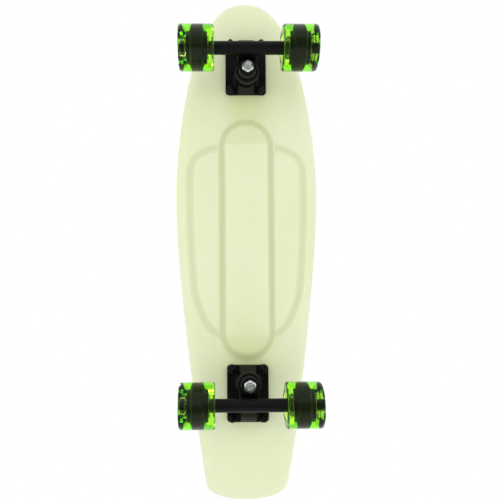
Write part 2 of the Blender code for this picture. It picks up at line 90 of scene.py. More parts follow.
TRUCKS = (Truck("front", 0.0), Truck("rear", math.pi))
FRONT = TRUCKS[0]
AXLE_SPOT = FRONT.local(middle("front_axle"))
KINGPIN_X = FRONT.local(middle("front_kingpin")).x
RING_CENTRE = FRONT.local(JOINTS["front_steering"]["pos_m"])
STEER_AXIS = Vector(JOINTS["front_steering"]["axis"]).normalized()
PIVOT_REACH = 44.95 * MM
PIVOT_POINT = RING_CENTRE + STEER_AXIS * PIVOT_REACH
BOLT_X = FRONT.local(middle("front_lock_nut_4")).x
BOLT_Y = abs(middle("front_lock_nut_4").y)
DECK_THICKNESS = 12.5 * MM
DECK_TOP = MOUNT_Z + DECK_THICKNESS
WHEEL_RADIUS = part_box("front_left_tyre")[1].z / 2
WHEEL_INNER_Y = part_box("front_left_tyre")[0].y
WHEEL_OUTER_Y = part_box("front_left_tyre")[1].y
CORE_INNER_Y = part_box("front_left_core")[0].y
CORE_OUTER_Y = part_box("front_left_core")[1].y
HANGER_END_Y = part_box("front_hanger")[1].y
AXLE_END_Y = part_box("front_axle")[1].y
ALONG_PIVOT = Vector((0, 0, 1)).rotation_difference(STEER_AXIS).to_matrix().to_4x4()
LYING_Y = Matrix.Rotation(math.radians(-90.0), 4, "X")
IDENTITY = Matrix.Identity(4)
HALF_TURN = Matrix.Rotation(math.pi, 4, "X")
AT_PIVOT = Matrix.Translation(PIVOT_POINT) @ ALONG_PIVOT
AT_AXLE = Matrix.Translation(AXLE_SPOT) @ LYING_Y
BOLT_CORNERS = [(x, y) for x in (-BOLT_X, BOLT_X) for y in (-BOLT_Y, BOLT_Y)]
ON_AXIS = 1e-7
SOCKET_KINDS = {float: "NodeSocketFloat", int: "NodeSocketInt", tuple: "NodeSocketColor"}


# ---------------- shader building blocks

def new_node(tree, kind, settings=None, **inputs):
    """Add a node; inputs go by socket name with _ for a space, or by number as i0, i1 and so on."""
    made = tree.nodes.new(kind)
    for key, value in (settings or {}).items():
        setattr(made, key, value)
    for key, value in inputs.items():
        numbered = key[0] == "i" and key[1:].isdigit()
        socket = made.inputs[int(key[1:]) if numbered else key.replace("_", " ")]
        if isinstance(value, bpy.types.NodeSocket):
            tree.links.new(value, socket)
        else:
            socket.default_value = value
    return made


def math_node(tree, operation, first, second, clamp=False):
    settings = {"operation": operation, "use_clamp": clamp}
    return new_node(tree, "ShaderNodeMath", settings, i0=first, i1=second).outputs[0]


def mix_color(tree, factor, first, second):
    made = new_node(tree, "ShaderNodeMix", {"data_type": "RGBA"}, i0=factor, i6=first, i7=second)
    return made.outputs[2]


def attribute(tree, name):
    return new_node(tree, "ShaderNodeAttribute", {"attribute_name": name}).outputs["Fac"]


def spread(tree, value, low, high, to_low=0.0, to_high=1.0):
    made = new_node(
        tree, "ShaderNodeMapRange", {"clamp": True},
        Value=value, From_Min=low, From_Max=high, To_Min=to_low, To_Max=to_high,
    )
    return made.outputs["Result"]


def new_group(tree_kind, name, output_kind, **inputs):
    """A node group; an input is its default or its socket kind. Gives (tree, inputs, output node)."""
    tree = bpy.data.node_groups.new(name, tree_kind)
    for key, value in inputs.items():
        kind = SOCKET_KINDS.get(type(value))
        socket = tree.interface.new_socket(key.replace("_", " "), in_out="INPUT", socket_type=kind or value)
        if kind:
            socket.default_value = value
    tree.interface.new_socket("Result", in_out="OUTPUT", socket_type=output_kind)
    start = tree.nodes.new("NodeGroupInput")
    return tree, start.outputs, tree.nodes.new("NodeGroupOutput")


def effect_group(name, output_kind, **inputs):
    return new_group("ShaderNodeTree", name, output_kind, **inputs)


def object_noise(tree, scale, detail, roughness=0.55, stretch=None):
    """Noise on the piece's own coordinates."""
    vector = new_node(tree, "ShaderNodeTexCoord").outputs["Object"]
    if stretch:
        vector = new_node(tree, "ShaderNodeMapping", None, Vector=vector, Scale=stretch).outputs[0]
    made = new_node(
        tree, "ShaderNodeTexNoise", None, Vector=vector, Scale=scale, Detail=detail, Roughness=roughness
    )
    return made.outputs["Fac"]


def build_tone_drift():
    """Slow cloudy change of a colour's depth."""
    tree, start, end = effect_group(
        "tone_drift", "NodeSocketColor",
        Color=(1.0, 1.0, 1.0, 1.0), Deep_Color=(0.0, 0.0, 0.0, 1.0), Scale=12.0, Amount=0.3,
    )
    cloud = object_noise(tree, start["Scale"], 4.0)
    share = math_node(tree, "MULTIPLY", spread(tree, cloud, 0.3, 0.7), start["Amount"])
    tree.links.new(mix_color(tree, share, start["Color"], start["Deep Color"]), end.inputs[0])
    return tree


def build_fine_grain():
    """Bump of a fine grain on a slow waviness, for moulded, cast and sprayed surfaces."""
    tree, start, end = effect_group(
        "fine_grain", "NodeSocketVector",
        Grain_Scale=900.0, Grain_Depth=0.1, Wave_Scale=60.0, Wave_Depth=0.1,
    )
    grain = math_node(tree, "MULTIPLY", object_noise(tree, start["Grain Scale"], 2.0), start["Grain Depth"])
    wave = math_node(tree, "MULTIPLY", object_noise(tree, start["Wave Scale"], 2.0), start["Wave Depth"])
    height = math_node(tree, "ADD", grain, wave)
    bump = new_node(tree, "ShaderNodeBump", None, Strength=1.0, Distance=0.001, Height=height)
    tree.links.new(bump.outputs[0], end.inputs[0])
    return tree


def build_gloss_drift():
    """Roughness that changes in soft patches with rubbed streaks."""
    tree, start, end = effect_group(
        "gloss_drift", "NodeSocketFloat", Roughness=0.4, Change=0.1, Scale=40.0
    )
    patch = object_noise(tree, start["Scale"], 3.0)
    streak = object_noise(tree, start["Scale"], 3.0, 0.6, (9.0, 1.0, 3.0))
    both = math_node(tree, "ADD", patch, streak)
    swing = math_node(tree, "MULTIPLY", math_node(tree, "SUBTRACT", both, 1.0), start["Change"])
    tree.links.new(math_node(tree, "ADD", start["Roughness"], swing, True), end.inputs[0])
    return tree


def build_edge_wear():
    """Mask of rubbed corners, broken up by noise."""
    tree, start, end = effect_group(
        "edge_wear", "NodeSocketFloat", Threshold=0.54, Softness=0.04, Break_Scale=150.0
    )
    corner = new_node(tree, "ShaderNodeNewGeometry").outputs["Pointiness"]
    top = math_node(tree, "ADD", start["Threshold"], start["Softness"])
    edge = spread(tree, corner, start["Threshold"], top)
    broken = spread(tree, object_noise(tree, start["Break Scale"], 3.0), 0.42, 0.62)
    tree.links.new(math_node(tree, "MULTIPLY", edge, broken, True), end.inputs[0])
    return tree


def build_scuffs():
    """Mask of thin scratches in two directions."""
    tree, start, end = effect_group("scuffs", "NodeSocketFloat", Scale=30.0, Amount=0.5)
    along = object_noise(tree, start["Scale"], 2.0, 0.7, (0.6, 26.0, 6.0))
    across = object_noise(tree, start["Scale"], 2.0, 0.7, (19.0, 0.8, 6.0))
    lines = math_node(tree, "MAXIMUM", spread(tree, along, 0.68, 0.72), spread(tree, across, 0.7, 0.74))
    patch = spread(tree, object_noise(tree, start["Scale"], 1.0), 0.45, 0.65)
    mask = math_node(tree, "MULTIPLY", lines, math_node(tree, "MULTIPLY", patch, start["Amount"]), True)
    tree.links.new(mask, end.inputs[0])
    return tree


EFFECTS = {
    "tone": build_tone_drift(),
    "grain": build_fine_grain(),
    "gloss": build_gloss_drift(),
    "wear": build_edge_wear(),
    "scuffs": build_scuffs(),
}


def effect(tree, name, **inputs):
    return new_node(tree, "ShaderNodeGroup", {"node_tree": EFFECTS[name]}, **inputs).outputs[0]


def rgb(red, green, blue):
    """A colour given as display values from 0 to 255."""
    def linear(value):
        share = value / 255
        return share / 12.92 if share <= 0.04045 else ((share + 0.055) / 1.055) ** 2.4
    return (linear(red), linear(green), linear(blue), 1.0)


def new_material(name, **constants):
    made = bpy.data.materials.new(name)
    made.use_nodes = True
    shader = made.node_tree.nodes["Principled BSDF"]
    for key, value in constants.items():
        shader.inputs[key.replace("_", " ")].default_value = value
    return made, made.node_tree, shader


def dress(tree, shader, color, gloss, grain):
    """Connect a colour, the gloss_drift values (roughness, change, scale) and the fine_grain values."""
    roughness, change, scale = gloss
    gloss_out = effect(tree, "gloss", Roughness=roughness, Change=change, Scale=scale)
    grain_scale, grain_depth, wave_scale, wave_depth = grain
    normal = effect(
        tree, "grain", Grain_Scale=grain_scale, Grain_Depth=grain_depth,
        Wave_Scale=wave_scale, Wave_Depth=wave_depth,
    )
    for name, value in (("Base Color", color), ("Roughness", gloss_out), ("Normal", normal)):
        tree.links.new(value, shader.inputs[name])


def milky_plastic():
    """Deck plastic: a milky moulding, with painted shade on the panels' walls and round the trucks."""
    made, tree, shader = new_material(
        "milky_glow_plastic", Subsurface_Weight=0.35, Subsurface_Radius=(1.0, 1.0, 0.55),
        Subsurface_Scale=0.006, IOR=1.49, Specular_IOR_Level=0.35,
    )
    tone = effect(
        tree, "tone", Color=rgb(241, 249, 212), Deep_Color=rgb(232, 242, 196), Scale=9.0, Amount=0.6
    )
    # painted shade: the panels' sloping walls get a darker colour where the wall attribute says
    wall_shaded = mix_color(tree, attribute(tree, "wall"), tone, rgb(212, 219, 172))
    # painted shade: a darker, yellower tone along the centre line near the trucks, standing in for their
    # shadow
    truck_shaded = mix_color(tree, attribute(tree, "truck_shade"), wall_shaded, rgb(229, 236, 176))
    speck = spread(tree, object_noise(tree, 420.0, 2.0), 0.66, 0.74, 0.0, 0.16)
    specked = mix_color(tree, speck, truck_shaded, rgb(196, 206, 150))
    scuff = effect(tree, "scuffs", Scale=16.0, Amount=0.25)
    color = mix_color(tree, scuff, specked, rgb(250, 252, 238))
    dress(tree, shader, color, (0.42, 0.16, 24.0), (1500.0, 0.05, 45.0, 0.12))
    return made


def black_paint(name, base, worn, roughness, metallic, grain_scale, grain_depth):
    """Black finish over metal, worn at its corners, with a painted highlight where the mesh says so."""
    made, tree, shader = new_material(name, Metallic=metallic, IOR=1.5, Specular_IOR_Level=0.12)
    fresh = effect(tree, "tone", Color=base, Deep_Color=rgb(6, 6, 7), Scale=70.0, Amount=0.7)
    # painted highlight: the colour turns paler where the mesh's attribute says, on the castings' lit faces
    tone = mix_color(tree, attribute(tree, "painted_highlight"), fresh, rgb(46, 47, 34))
    wear = effect(tree, "wear", Threshold=0.56, Softness=0.06, Break_Scale=420.0)
    scuff = effect(tree, "scuffs", Scale=60.0, Amount=0.5)
    marks = math_node(tree, "MAXIMUM", math_node(tree, "MULTIPLY", wear, 0.7), scuff)
    color = mix_color(tree, marks, tone, worn)
    dress(tree, shader, color, (roughness, 0.2, 90.0), (grain_scale, grain_depth, 260.0, 0.1))
    return made


def bright_metal(name, base, deep, roughness, grain_depth):
    """Plated or ground steel with fine tool marks."""
    made, tree, shader = new_material(name, Metallic=1.0)
    tone = effect(tree, "tone", Color=base, Deep_Color=deep, Scale=110.0, Amount=0.8)
    wear = effect(tree, "wear", Threshold=0.53, Softness=0.05, Break_Scale=500.0)
    color = mix_color(tree, wear, tone, rgb(235, 236, 236))
    dress(tree, shader, color, (roughness, 0.25, 300.0), (2600.0, grain_depth, 500.0, 0.05))
    return made


def dull_plastic(name, base, deep, roughness):
    """Rubber, nylon and moulded core plastic."""
    made, tree, shader = new_material(name, Specular_IOR_Level=0.2)
    color = effect(tree, "tone", Color=base, Deep_Color=deep, Scale=120.0, Amount=0.8)
    dress(tree, shader, color, (roughness, 0.15, 160.0), (2000.0, 0.06, 220.0, 0.12))
    return made


def clear_urethane():
    """Poured urethane: clear green with the colour in its depth, and a few fine marks on its skin."""
    made, tree, shader = new_material(
        "clear_green_urethane", Transmission_Weight=1.0, IOR=1.5, Specular_Tint=(0.35, 0.35, 0.35, 1.0)
    )
    color = effect(
        tree, "tone", Color=rgb(250, 255, 236), Deep_Color=rgb(236, 250, 214), Scale=40.0, Amount=0.5
    )
    dress(tree, shader, color, (0.035, 0.05, 90.0), (900.0, 0.006, 70.0, 0.06))
    depth = new_node(
        tree, "ShaderNodeVolumeAbsorption", None, Color=(0.735, 0.99, 0.04, 1.0), Density=105.0
    )
    tree.links.new(depth.outputs[0], tree.nodes["Material Output"].inputs["Volume"])
    return made


MATERIALS = {
    "deck": milky_plastic(),
    "truck": black_paint("black_cast_paint", rgb(8, 8, 8), rgb(56, 56, 52), 0.42, 0.0, 1300.0, 0.16),
    "steel": black_paint("black_oxide_steel", rgb(14, 14, 14), rgb(64, 63, 60), 0.36, 0.1, 2400.0, 0.05),
    "zinc": bright_metal("bright_zinc", rgb(212, 215, 218), rgb(168, 171, 176), 0.26, 0.02),
    "pin": bright_metal("worn_pin_steel", rgb(150, 153, 157), rgb(104, 107, 110), 0.36, 0.04),
    "bearing": bright_metal("ground_bearing_steel", rgb(190, 190, 192), rgb(150, 150, 154), 0.22, 0.02),
    "shield": black_paint("bearing_shield", rgb(30, 30, 32), rgb(80, 80, 82), 0.5, 0.2, 1800.0, 0.06),
    "bushing": dull_plastic("black_bushing_urethane", rgb(14, 14, 15), rgb(9, 9, 10), 0.45),
    "cup": dull_plastic("pivot_cup_nylon", rgb(46, 46, 48), rgb(28, 28, 30), 0.5),
    "core": dull_plastic("core_nylon", rgb(12, 15, 10), rgb(7, 9, 6), 0.5),
    "nylon": dull_plastic("nut_insert_nylon", rgb(46, 48, 46), rgb(34, 36, 34), 0.45),
    "tyre": clear_urethane(),
}


# ---------------- mesh building blocks

def mesh_from_bmesh(name, bm):
    mesh = bpy.data.meshes.new(name)
    bm.to_mesh(mesh)
    bm.free()
    return mesh


def add_object(name, data):
    made = bpy.data.objects.new(name, data)
    SCENE.collection.objects.link(made)
    return made


def evaluated_mesh(item, name):
    bpy.context.view_layer.update()
    depsgraph = bpy.context.evaluated_depsgraph_get()
    mesh = bpy.data.meshes.new_from_object(item.evaluated_get(depsgraph))
    mesh.name = name
    return mesh


def discard(*items):
    for item in items:
        mesh = item.data
        bpy.data.objects.remove(item, do_unlink=True)
        if mesh.users == 0:
            bpy.data.meshes.remove(mesh)


def mm(points):
    return [(a * MM, b * MM) for a, b in points]


def at(x, y, z):
    return Matrix.Translation((x, y, z))


def lathe(profile, segments, closed=False):
    """Solid of revolution about Z from (radius, height) points; open profiles end on the axis."""
    bm = bmesh.new()
    turns = [2 * math.pi * i / segments for i in range(segments)]
    rings = []
    for radius, height in profile:
        angles = turns if radius > ON_AXIS else [0.0]
        rings.append([bm.verts.new((radius * math.cos(a), radius * math.sin(a), height)) for a in angles])
    pairs = list(zip(rings, rings[1:]))
    if closed:
        pairs.append((rings[-1], rings[0]))
    for upper, lower in pairs:
        for i in range(segments):
            j = (i + 1) % segments
            below = (lower[i % len(lower)], lower[j % len(lower)])
            unique = list(dict.fromkeys((upper[i % len(upper)], *below, upper[j % len(upper)])))
            if len(unique) > 2:
                bm.faces.new(unique)
    bmesh.ops.recalc_face_normals(bm, faces=bm.faces)
    return mesh_from_bmesh("lathe", bm)


def rounded(points, radius, steps=4, closed=True):
    """Points with every corner turned into an arc; radius may be one value or one for each point."""
    count = len(points)
    radii = radius if hasattr(radius, "__len__") else [radius] * count
    out = []
    for i, point in enumerate(points):
        ends = not closed and i in (0, count - 1)
        if ends or radii[i] <= 0:
            out.append(tuple(point))
            continue
        here = Vector(point).to_2d()
        before = Vector(points[i - 1]).to_2d() - here
        after = Vector(points[(i + 1) % count]).to_2d() - here
        half = before.angle(after) / 2
        cut = min(radii[i] / math.tan(half), before.length * 0.49, after.length * 0.49)
        start = here + before.normalized() * cut
        finish = here + after.normalized() * cut
        for step in range(steps + 1):
            t = step / steps
            out.append(tuple(start * (1 - t) ** 2 + here * (2 * t * (1 - t)) + finish * t * t))
    return out


def prism(outline, low, high, turn=IDENTITY):
    """An outline pushed through from low to high along its own normal."""
    bm = bmesh.new()
    bottom = [bm.verts.new((x, y, low)) for x, y in outline]
    face = bm.faces.new(bottom)
    made = bmesh.ops.extrude_face_region(bm, geom=[face])
    top = [g for g in made["geom"] if isinstance(g, bmesh.types.BMVert)]
    bmesh.ops.translate(bm, verts=top, vec=(0, 0, high - low))
    bmesh.ops.recalc_face_normals(bm, faces=bm.faces)
    bm.transform(turn)
    return mesh_from_bmesh("prism", bm)


def tube(radius, low, high, segments=48):
    return lathe([(0, high), (radius, high), (radius, low), (0, low)], segments)


def moved(mesh, matrix):
    mesh.transform(matrix)
    return mesh


def joined(*meshes):
    """Several meshes as one, left as separate shells."""
    bm = bmesh.new()
    for mesh in meshes:
        bm.from_mesh(mesh)
        bpy.data.meshes.remove(mesh)
    return mesh_from_bmesh("joined", bm)


def carved(base, joins=(), cuts=(), keeps=(), voxel=0.0, smooth=0):
    """Boolean work on meshes; with a voxel size the joined body is cast as one before it is cut."""
    body = add_object("body", base)
    tools = []

    def use(operation, mesh):
        tool = add_object("tool", mesh)
        tool.hide_render = True
        tools.append(tool)
        change = body.modifiers.new(operation, "BOOLEAN")
        change.operation = operation
        change.object = tool
        change.solver = "EXACT"

    for mesh in joins:
        use("UNION", mesh)
    if voxel:
        cast = body.modifiers.new("cast", "REMESH")
        cast.mode = "VOXEL"
        cast.voxel_size = voxel
        cast.use_smooth_shade = True
        if smooth:
            soften = body.modifiers.new("soften", "SMOOTH")
            soften.factor = 0.5
            soften.iterations = smooth
    for mesh in keeps:
        use("INTERSECT", mesh)
    for mesh in cuts:
        use("DIFFERENCE", mesh)
    result = evaluated_mesh(body, "carved")
    discard(body, *tools)
    return result


def softened(mesh, width, segments, angle):
    """Small rounded edges."""
    item = add_object("soften", mesh)
    edge = item.modifiers.new("edges", "BEVEL")
    edge.width = width
    edge.segments = segments
    edge.limit_method = "ANGLE"
    edge.angle_limit = math.radians(angle)
    edge.use_clamp_overlap = True
    edge.harden_normals = False
    result = evaluated_mesh(item, "softened")
    discard(item)
    return result


def store(mesh, name, values):
    """Keep a value for every point of a mesh."""
    mesh.attributes.new(name, "FLOAT", "POINT").data.foreach_set("value", values.astype(np.float32))


def painted_highlight(mesh, weigh):
    """Store how much painted highlight every point gets, weighed from the points' coordinates."""
    points = np.empty(len(mesh.vertices) * 3, np.float32)
    mesh.vertices.foreach_get("co", points)
    x, y, z = points.reshape(-1, 3).T
    store(mesh, "painted_highlight", weigh(x, y, z))
    return mesh


def piece(name, mesh, finish, body, nodes, angle):
    """Put a finished mesh on the board, riding on its body and standing for its CAD nodes."""
    mesh.materials.clear()
    mesh.materials.append(MATERIALS[finish])
    mesh.name = name
    mesh.shade_smooth()
    mesh.set_sharp_from_angle(angle=math.radians(angle))
    item = add_object(name, mesh)
    if body:
        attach(item, body)
    if nodes:
        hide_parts(*nodes)
    return item


# ---------------- geometry node trees

def geometry_tree(name, **inputs):
    """A geometry node tree: geometry in and out, the named inputs and a material called Finish."""
    return new_group(
        "GeometryNodeTree", name, "NodeSocketGeometry",
        Geometry="NodeSocketGeometry", **inputs, Finish="NodeSocketMaterial",
    )


def end_tree(tree, geometry, start, end):
    """Realize what was placed, give it its material and put it out."""
    real = new_node(tree, "GeometryNodeRealizeInstances", None, Geometry=geometry).outputs[0]
    dressed = new_node(tree, "GeometryNodeSetMaterial", None, Geometry=real, Material=start["Finish"])
    tree.links.new(dressed.outputs[0], end.inputs[0])
    return tree


def end_instances(tree, start, end, **inputs):
    """Place an instance on every point and end the tree with them."""
    placed = new_node(tree, "GeometryNodeInstanceOnPoints", None, **inputs)
    return end_tree(tree, placed.outputs[0], start, end)


def waffle_tree():
    """Small tapered grip pads, one on each point of the input, tipped by its tilt."""
    tree, start, end = geometry_tree("waffle_pads", Pad_Size=0.0062, Pad_Height=0.0009, Taper=0.84)
    reach = math_node(tree, "MULTIPLY", start["Pad Size"], math.sqrt(0.5))
    top = math_node(tree, "MULTIPLY", reach, start["Taper"])
    pad = new_node(
        tree, "GeometryNodeMeshCone", {"fill_type": "NGON"},
        Vertices=4, Radius_Top=top, Radius_Bottom=reach, Depth=start["Pad Height"],
    )
    square = new_node(
        tree, "GeometryNodeTransform", None,
        Geometry=pad.outputs["Mesh"], Rotation=(0.0, 0.0, math.radians(45.0)),
    )
    tilt = new_node(tree, "GeometryNodeInputNamedAttribute", {"data_type": "FLOAT"}, Name="tilt")
    turn = new_node(tree, "ShaderNodeCombineXYZ", None, Y=tilt.outputs["Attribute"])
    return end_instances(
        tree, start, end, Points=start["Geometry"], Instance=square.outputs[0], Rotation=turn.outputs[0]
    )


def thread_tree():
    """A screw thread wound up +Z round the origin."""
    tree, start, end = geometry_tree("screw_thread", Radius=0.004, Turns=8.0, Length=0.01, Ridge=0.0004)
    spiral = new_node(
        tree, "GeometryNodeCurveSpiral", None,
        Resolution=20, Rotations=start["Turns"], Start_Radius=start["Radius"],
        End_Radius=start["Radius"], Height=start["Length"],
    )
    section = new_node(tree, "GeometryNodeCurvePrimitiveCircle", {"mode": "RADIUS"}, Resolution=4)
    tree.links.new(start["Ridge"], section.inputs["Radius"])
    wound = new_node(
        tree, "GeometryNodeCurveToMesh", None,
        Curve=spiral.outputs[0], Profile_Curve=section.outputs[0], Fill_Caps=True,
    )
    return end_tree(tree, wound.outputs[0], start, end)


def pattern_tree():
    """The input's own piece repeated on the four corners of a rectangle."""
    tree, start, end = geometry_tree("four_corners", Spacing_X=0.06, Spacing_Y=0.04)
    corners = new_node(
        tree, "GeometryNodeMeshGrid", None,
        Size_X=start["Spacing X"], Size_Y=start["Spacing Y"], Vertices_X=2, Vertices_Y=2,
    )
    return end_instances(tree, start, end, Points=corners.outputs["Mesh"], Instance=start["Geometry"])


def ring_tree():
    """The input's own piece repeated round Z."""
    tree, start, end = geometry_tree("round_the_axis", Count=7)
    line = new_node(tree, "GeometryNodeMeshLine", {"mode": "OFFSET"}, Count=start["Count"], Offset=(0, 0, 0))
    index = new_node(tree, "GeometryNodeInputIndex").outputs[0]
    share = math_node(tree, "DIVIDE", index, start["Count"])
    angle = math_node(tree, "MULTIPLY", share, 2 * math.pi)
    turn = new_node(tree, "ShaderNodeCombineXYZ", None, Z=angle)
    return end_instances(
        tree, start, end, Points=line.outputs[0], Instance=start["Geometry"], Rotation=turn.outputs[0]
    )


TREES = {
    "waffle": waffle_tree(),
    "thread": thread_tree(),
    "pattern": pattern_tree(),
    "ring": ring_tree(),
}


def grown(tree_name, mesh, **values):
    """The plain mesh that a tree makes from a mesh."""
    item = add_object("seed", mesh or bpy.data.meshes.new("seed"))
    change = item.modifiers.new("grow", "NODES")
    change.node_group = TREES[tree_name]
    sockets = {
        s.name: s.identifier for s in TREES[tree_name].interface.items_tree
        if s.item_type == "SOCKET" and s.in_out == "INPUT"
    }
    for key, value in values.items():
        change[sockets[key.replace("_", " ")]] = value
    result = evaluated_mesh(item, "grown")
    discard(item)
    return result


def thread(radius, low, high, pitch, finish, ridge=0.28 * MM):
    """Thread between two heights, a little sunk in its shank."""
    length = high - low
    wound = grown(
        "thread", None, Radius=radius, Turns=length / pitch, Length=length, Ridge=ridge,
        Finish=MATERIALS[finish],
    )
    return moved(wound, at(0, 0, low))


# ---------------- deck

NOSE_FULLNESS = (1.7, 2.31)
WIDEST_X = 80.0 * MM
HALF_WIDTH = DECK_HIGH.y
TAIL_TAPER = 0.134
TAPER_SOFTNESS = 16.0 * MM
TAIL_CORNER_X = -313.0 * MM
NOSE_KICK_X = 285.0 * MM
NOSE_RISE = 7.8 * MM
TAIL_KICK_X = -228.0 * MM
TAIL_SLOPE = 0.37
TAIL_SOFTNESS = 25.0 * MM

DECK_ROWS = 345
DECK_COLUMNS = 129
OUTLINE_POINTS = 700
RAMP_SOFTNESS = 0.1
TIP_HALF_WIDTH = 1.2 * MM
RIM_HEIGHT = 8.4 * MM
UNDER_ROUNDING = 15.0 * MM
TOP_ROUNDING = 4.0 * MM
PAD_HEIGHT = 0.9 * MM
PAD_DEPTH = PAD_HEIGHT * 1.05
PAD_SIZE = 6.3 * MM
PAD_PITCH = 9.0 * MM
PAD_MARGIN = 9.0 * MM

KEEL_NOSE_X = 176.0 * MM
KEEL_TAIL_X = -146.8 * MM
KEEL_OUTER = 37.7 * MM
KEEL_BAND = 10.2 * MM
WING_BAND = 11.4 * MM
WING_DROP = 2.4 * MM
KEEL_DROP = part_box("front_baseplate")[1].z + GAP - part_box("deck")[0].z - WING_DROP
STEP_DROP = 0.8 * MM
STEP_NOSE_X = 141.5 * MM
STEP_TAIL_X = -115.0 * MM
CHEVRON_X = (-128.5 * MM, -117.0 * MM)
CHEVRON_HALF = (4.0 * MM, 9.4 * MM)
CHEVRON_DROP = 0.35 * MM
WING_OUTLINE = [
    (145, 20), (143, 38), (139.5, 54), (131, 69), (119, 77.8), (102, 81.3), (60, 81.7), (17, 80.4),
    (-28, 77.8), (-55, 75.6), (-71, 71.5), (-87, 65.5), (-102, 58), (-113, 47), (-120, 34), (-123, 20),
]


def half_width(x):
    """Half the deck's width at each x."""
    x = np.asarray(x, float)
    t = np.clip((x - WIDEST_X) / (NOSE_TIP - WIDEST_X), 0.0, 1.0)
    nose = HALF_WIDTH * (1.0 - t ** NOSE_FULLNESS[0]) ** (1.0 / NOSE_FULLNESS[1])
    drop = np.hypot(TAIL_TAPER * (WIDEST_X - x), TAPER_SOFTNESS) - TAPER_SOFTNESS
    corner = np.clip((TAIL_CORNER_X - x) / (TAIL_CORNER_X - TAIL_TIP), 0.0, 1.0)
    tail = (HALF_WIDTH - drop) * np.sqrt(1.0 - corner ** 3)
    return np.where(x > WIDEST_X, nose, tail)


def rise(x):
    """How far the deck bends up at its nose and at its kicktail."""
    x = np.asarray(x, float)
    nose = NOSE_RISE * (np.clip((x - NOSE_KICK_X) / (NOSE_TIP - NOSE_KICK_X), 0.0, 1.0)) ** 1.8
    back = np.clip(TAIL_KICK_X - x, 0.0, None)
    return nose + TAIL_SLOPE * (np.hypot(back, TAIL_SOFTNESS) - TAIL_SOFTNESS)


def distance_to(points, line):
    """Least distance from each point to a polyline."""
    best = np.full(len(points), 1e9)
    for a, b in zip(line[:-1], line[1:]):
        ab = b - a
        t = np.clip(((points - a) @ ab) / max(ab @ ab, 1e-18), 0.0, 1.0)
        gap = points - (a + t[:, None] * ab)
        best = np.minimum(best, np.einsum("ij,ij->i", gap, gap))
    return np.sqrt(best)


def inside(points, loop):
    """Whether each point lies within a closed loop."""
    result = np.zeros(len(points), bool)
    x, y = points[:, 0], points[:, 1]
    for a, b in zip(loop, np.roll(loop, -1, axis=0)):
        crosses = (a[1] > y) != (b[1] > y)
        slope = (b[0] - a[0]) / (b[1] - a[1] if b[1] != a[1] else 1e-12)
        result ^= crosses & (x < a[0] + (y - a[1]) * slope)
    return result


def smooth_line(points):
    """A Catmull-Rom line through the points, in ten steps from one to the next."""
    p = np.array(points, float)
    p = np.vstack([2 * p[0] - p[1], p, 2 * p[-1] - p[-2]])
    t = np.linspace(0.0, 1.0, 10, endpoint=False)[:, None]
    out = []
    for a, b, c, d in zip(p, p[1:], p[2:], p[3:]):
        square = (2 * a - 5 * b + 4 * c - d) * t**2
        cube = (3 * b - a - 3 * c + d) * t**3
        out.append(0.5 * (2 * b + (c - a) * t + square + cube))
    return np.vstack(out + [p[-2][None]])


def ramp(t):
    """A straight slope from 0 to 1 with rounded foot and crest."""
    return (np.hypot(t, RAMP_SOFTNESS) - np.hypot(t - 1.0, RAMP_SOFTNESS) + 1.0) / 2


def deck_stations(count):
    return (NOSE_TIP - TAIL_TIP) / 2 * np.sin(np.linspace(-1.0, 1.0, count) * math.pi / 2)


def outline_line():
    x = deck_stations(OUTLINE_POINTS)
    return np.column_stack([x, half_width(x)])


def panel_shape(x, y):
    """Drop of the raised panels below the underside, and how much painted shade falls on their walls."""
    points = np.column_stack([x, np.abs(y)])
    nearest = np.clip(x, KEEL_TAIL_X + KEEL_OUTER, KEEL_NOSE_X - KEEL_OUTER)
    keel = (KEEL_OUTER - np.hypot(x - nearest, y)) / KEEL_BAND
    side = smooth_line(WING_OUTLINE) * MM
    loop = np.vstack([side, [[side[-1][0], -0.01], [side[0][0], -0.01]]])
    sign = np.where(inside(points, loop), 1.0, -1.0)
    wing = sign * distance_to(points, side) / WING_BAND
    step = np.minimum(STEP_NOSE_X - x, x - STEP_TAIL_X) / (1.6 * MM)
    crown = ramp(keel)
    drop = WING_DROP * ramp(wing) * (1 - crown) + (WING_DROP + KEEL_DROP) * crown
    drop -= STEP_DROP * (1 - ramp(step)) * crown
    along = np.clip((x - CHEVRON_X[0]) / (CHEVRON_X[1] - CHEVRON_X[0]), 0.0, 1.0)
    reach = CHEVRON_HALF[0] + (CHEVRON_HALF[1] - CHEVRON_HALF[0]) * along
    within = (x >= CHEVRON_X[0]) & (x <= CHEVRON_X[1]) & (np.abs(y) <= reach)
    drop += CHEVRON_DROP * within
    beyond = (1 - ramp(step)) * (keel > 1.0)
    # painted shade on the keel's walls, on its ends beyond the steps, and on the wings' walls
    keel_wall_shade = np.maximum(np.clip((0.54 - np.abs(keel - 0.5)) / 0.26, 0, 1), 0.3 * beyond)
    wing_wall_shade = np.clip(1.0 - np.abs(wing - 0.5) * 2.0, 0, 1) ** 0.35 * (keel < 0)
    wall = np.maximum(keel_wall_shade, 0.62 * wing_wall_shade)
    return drop, wall


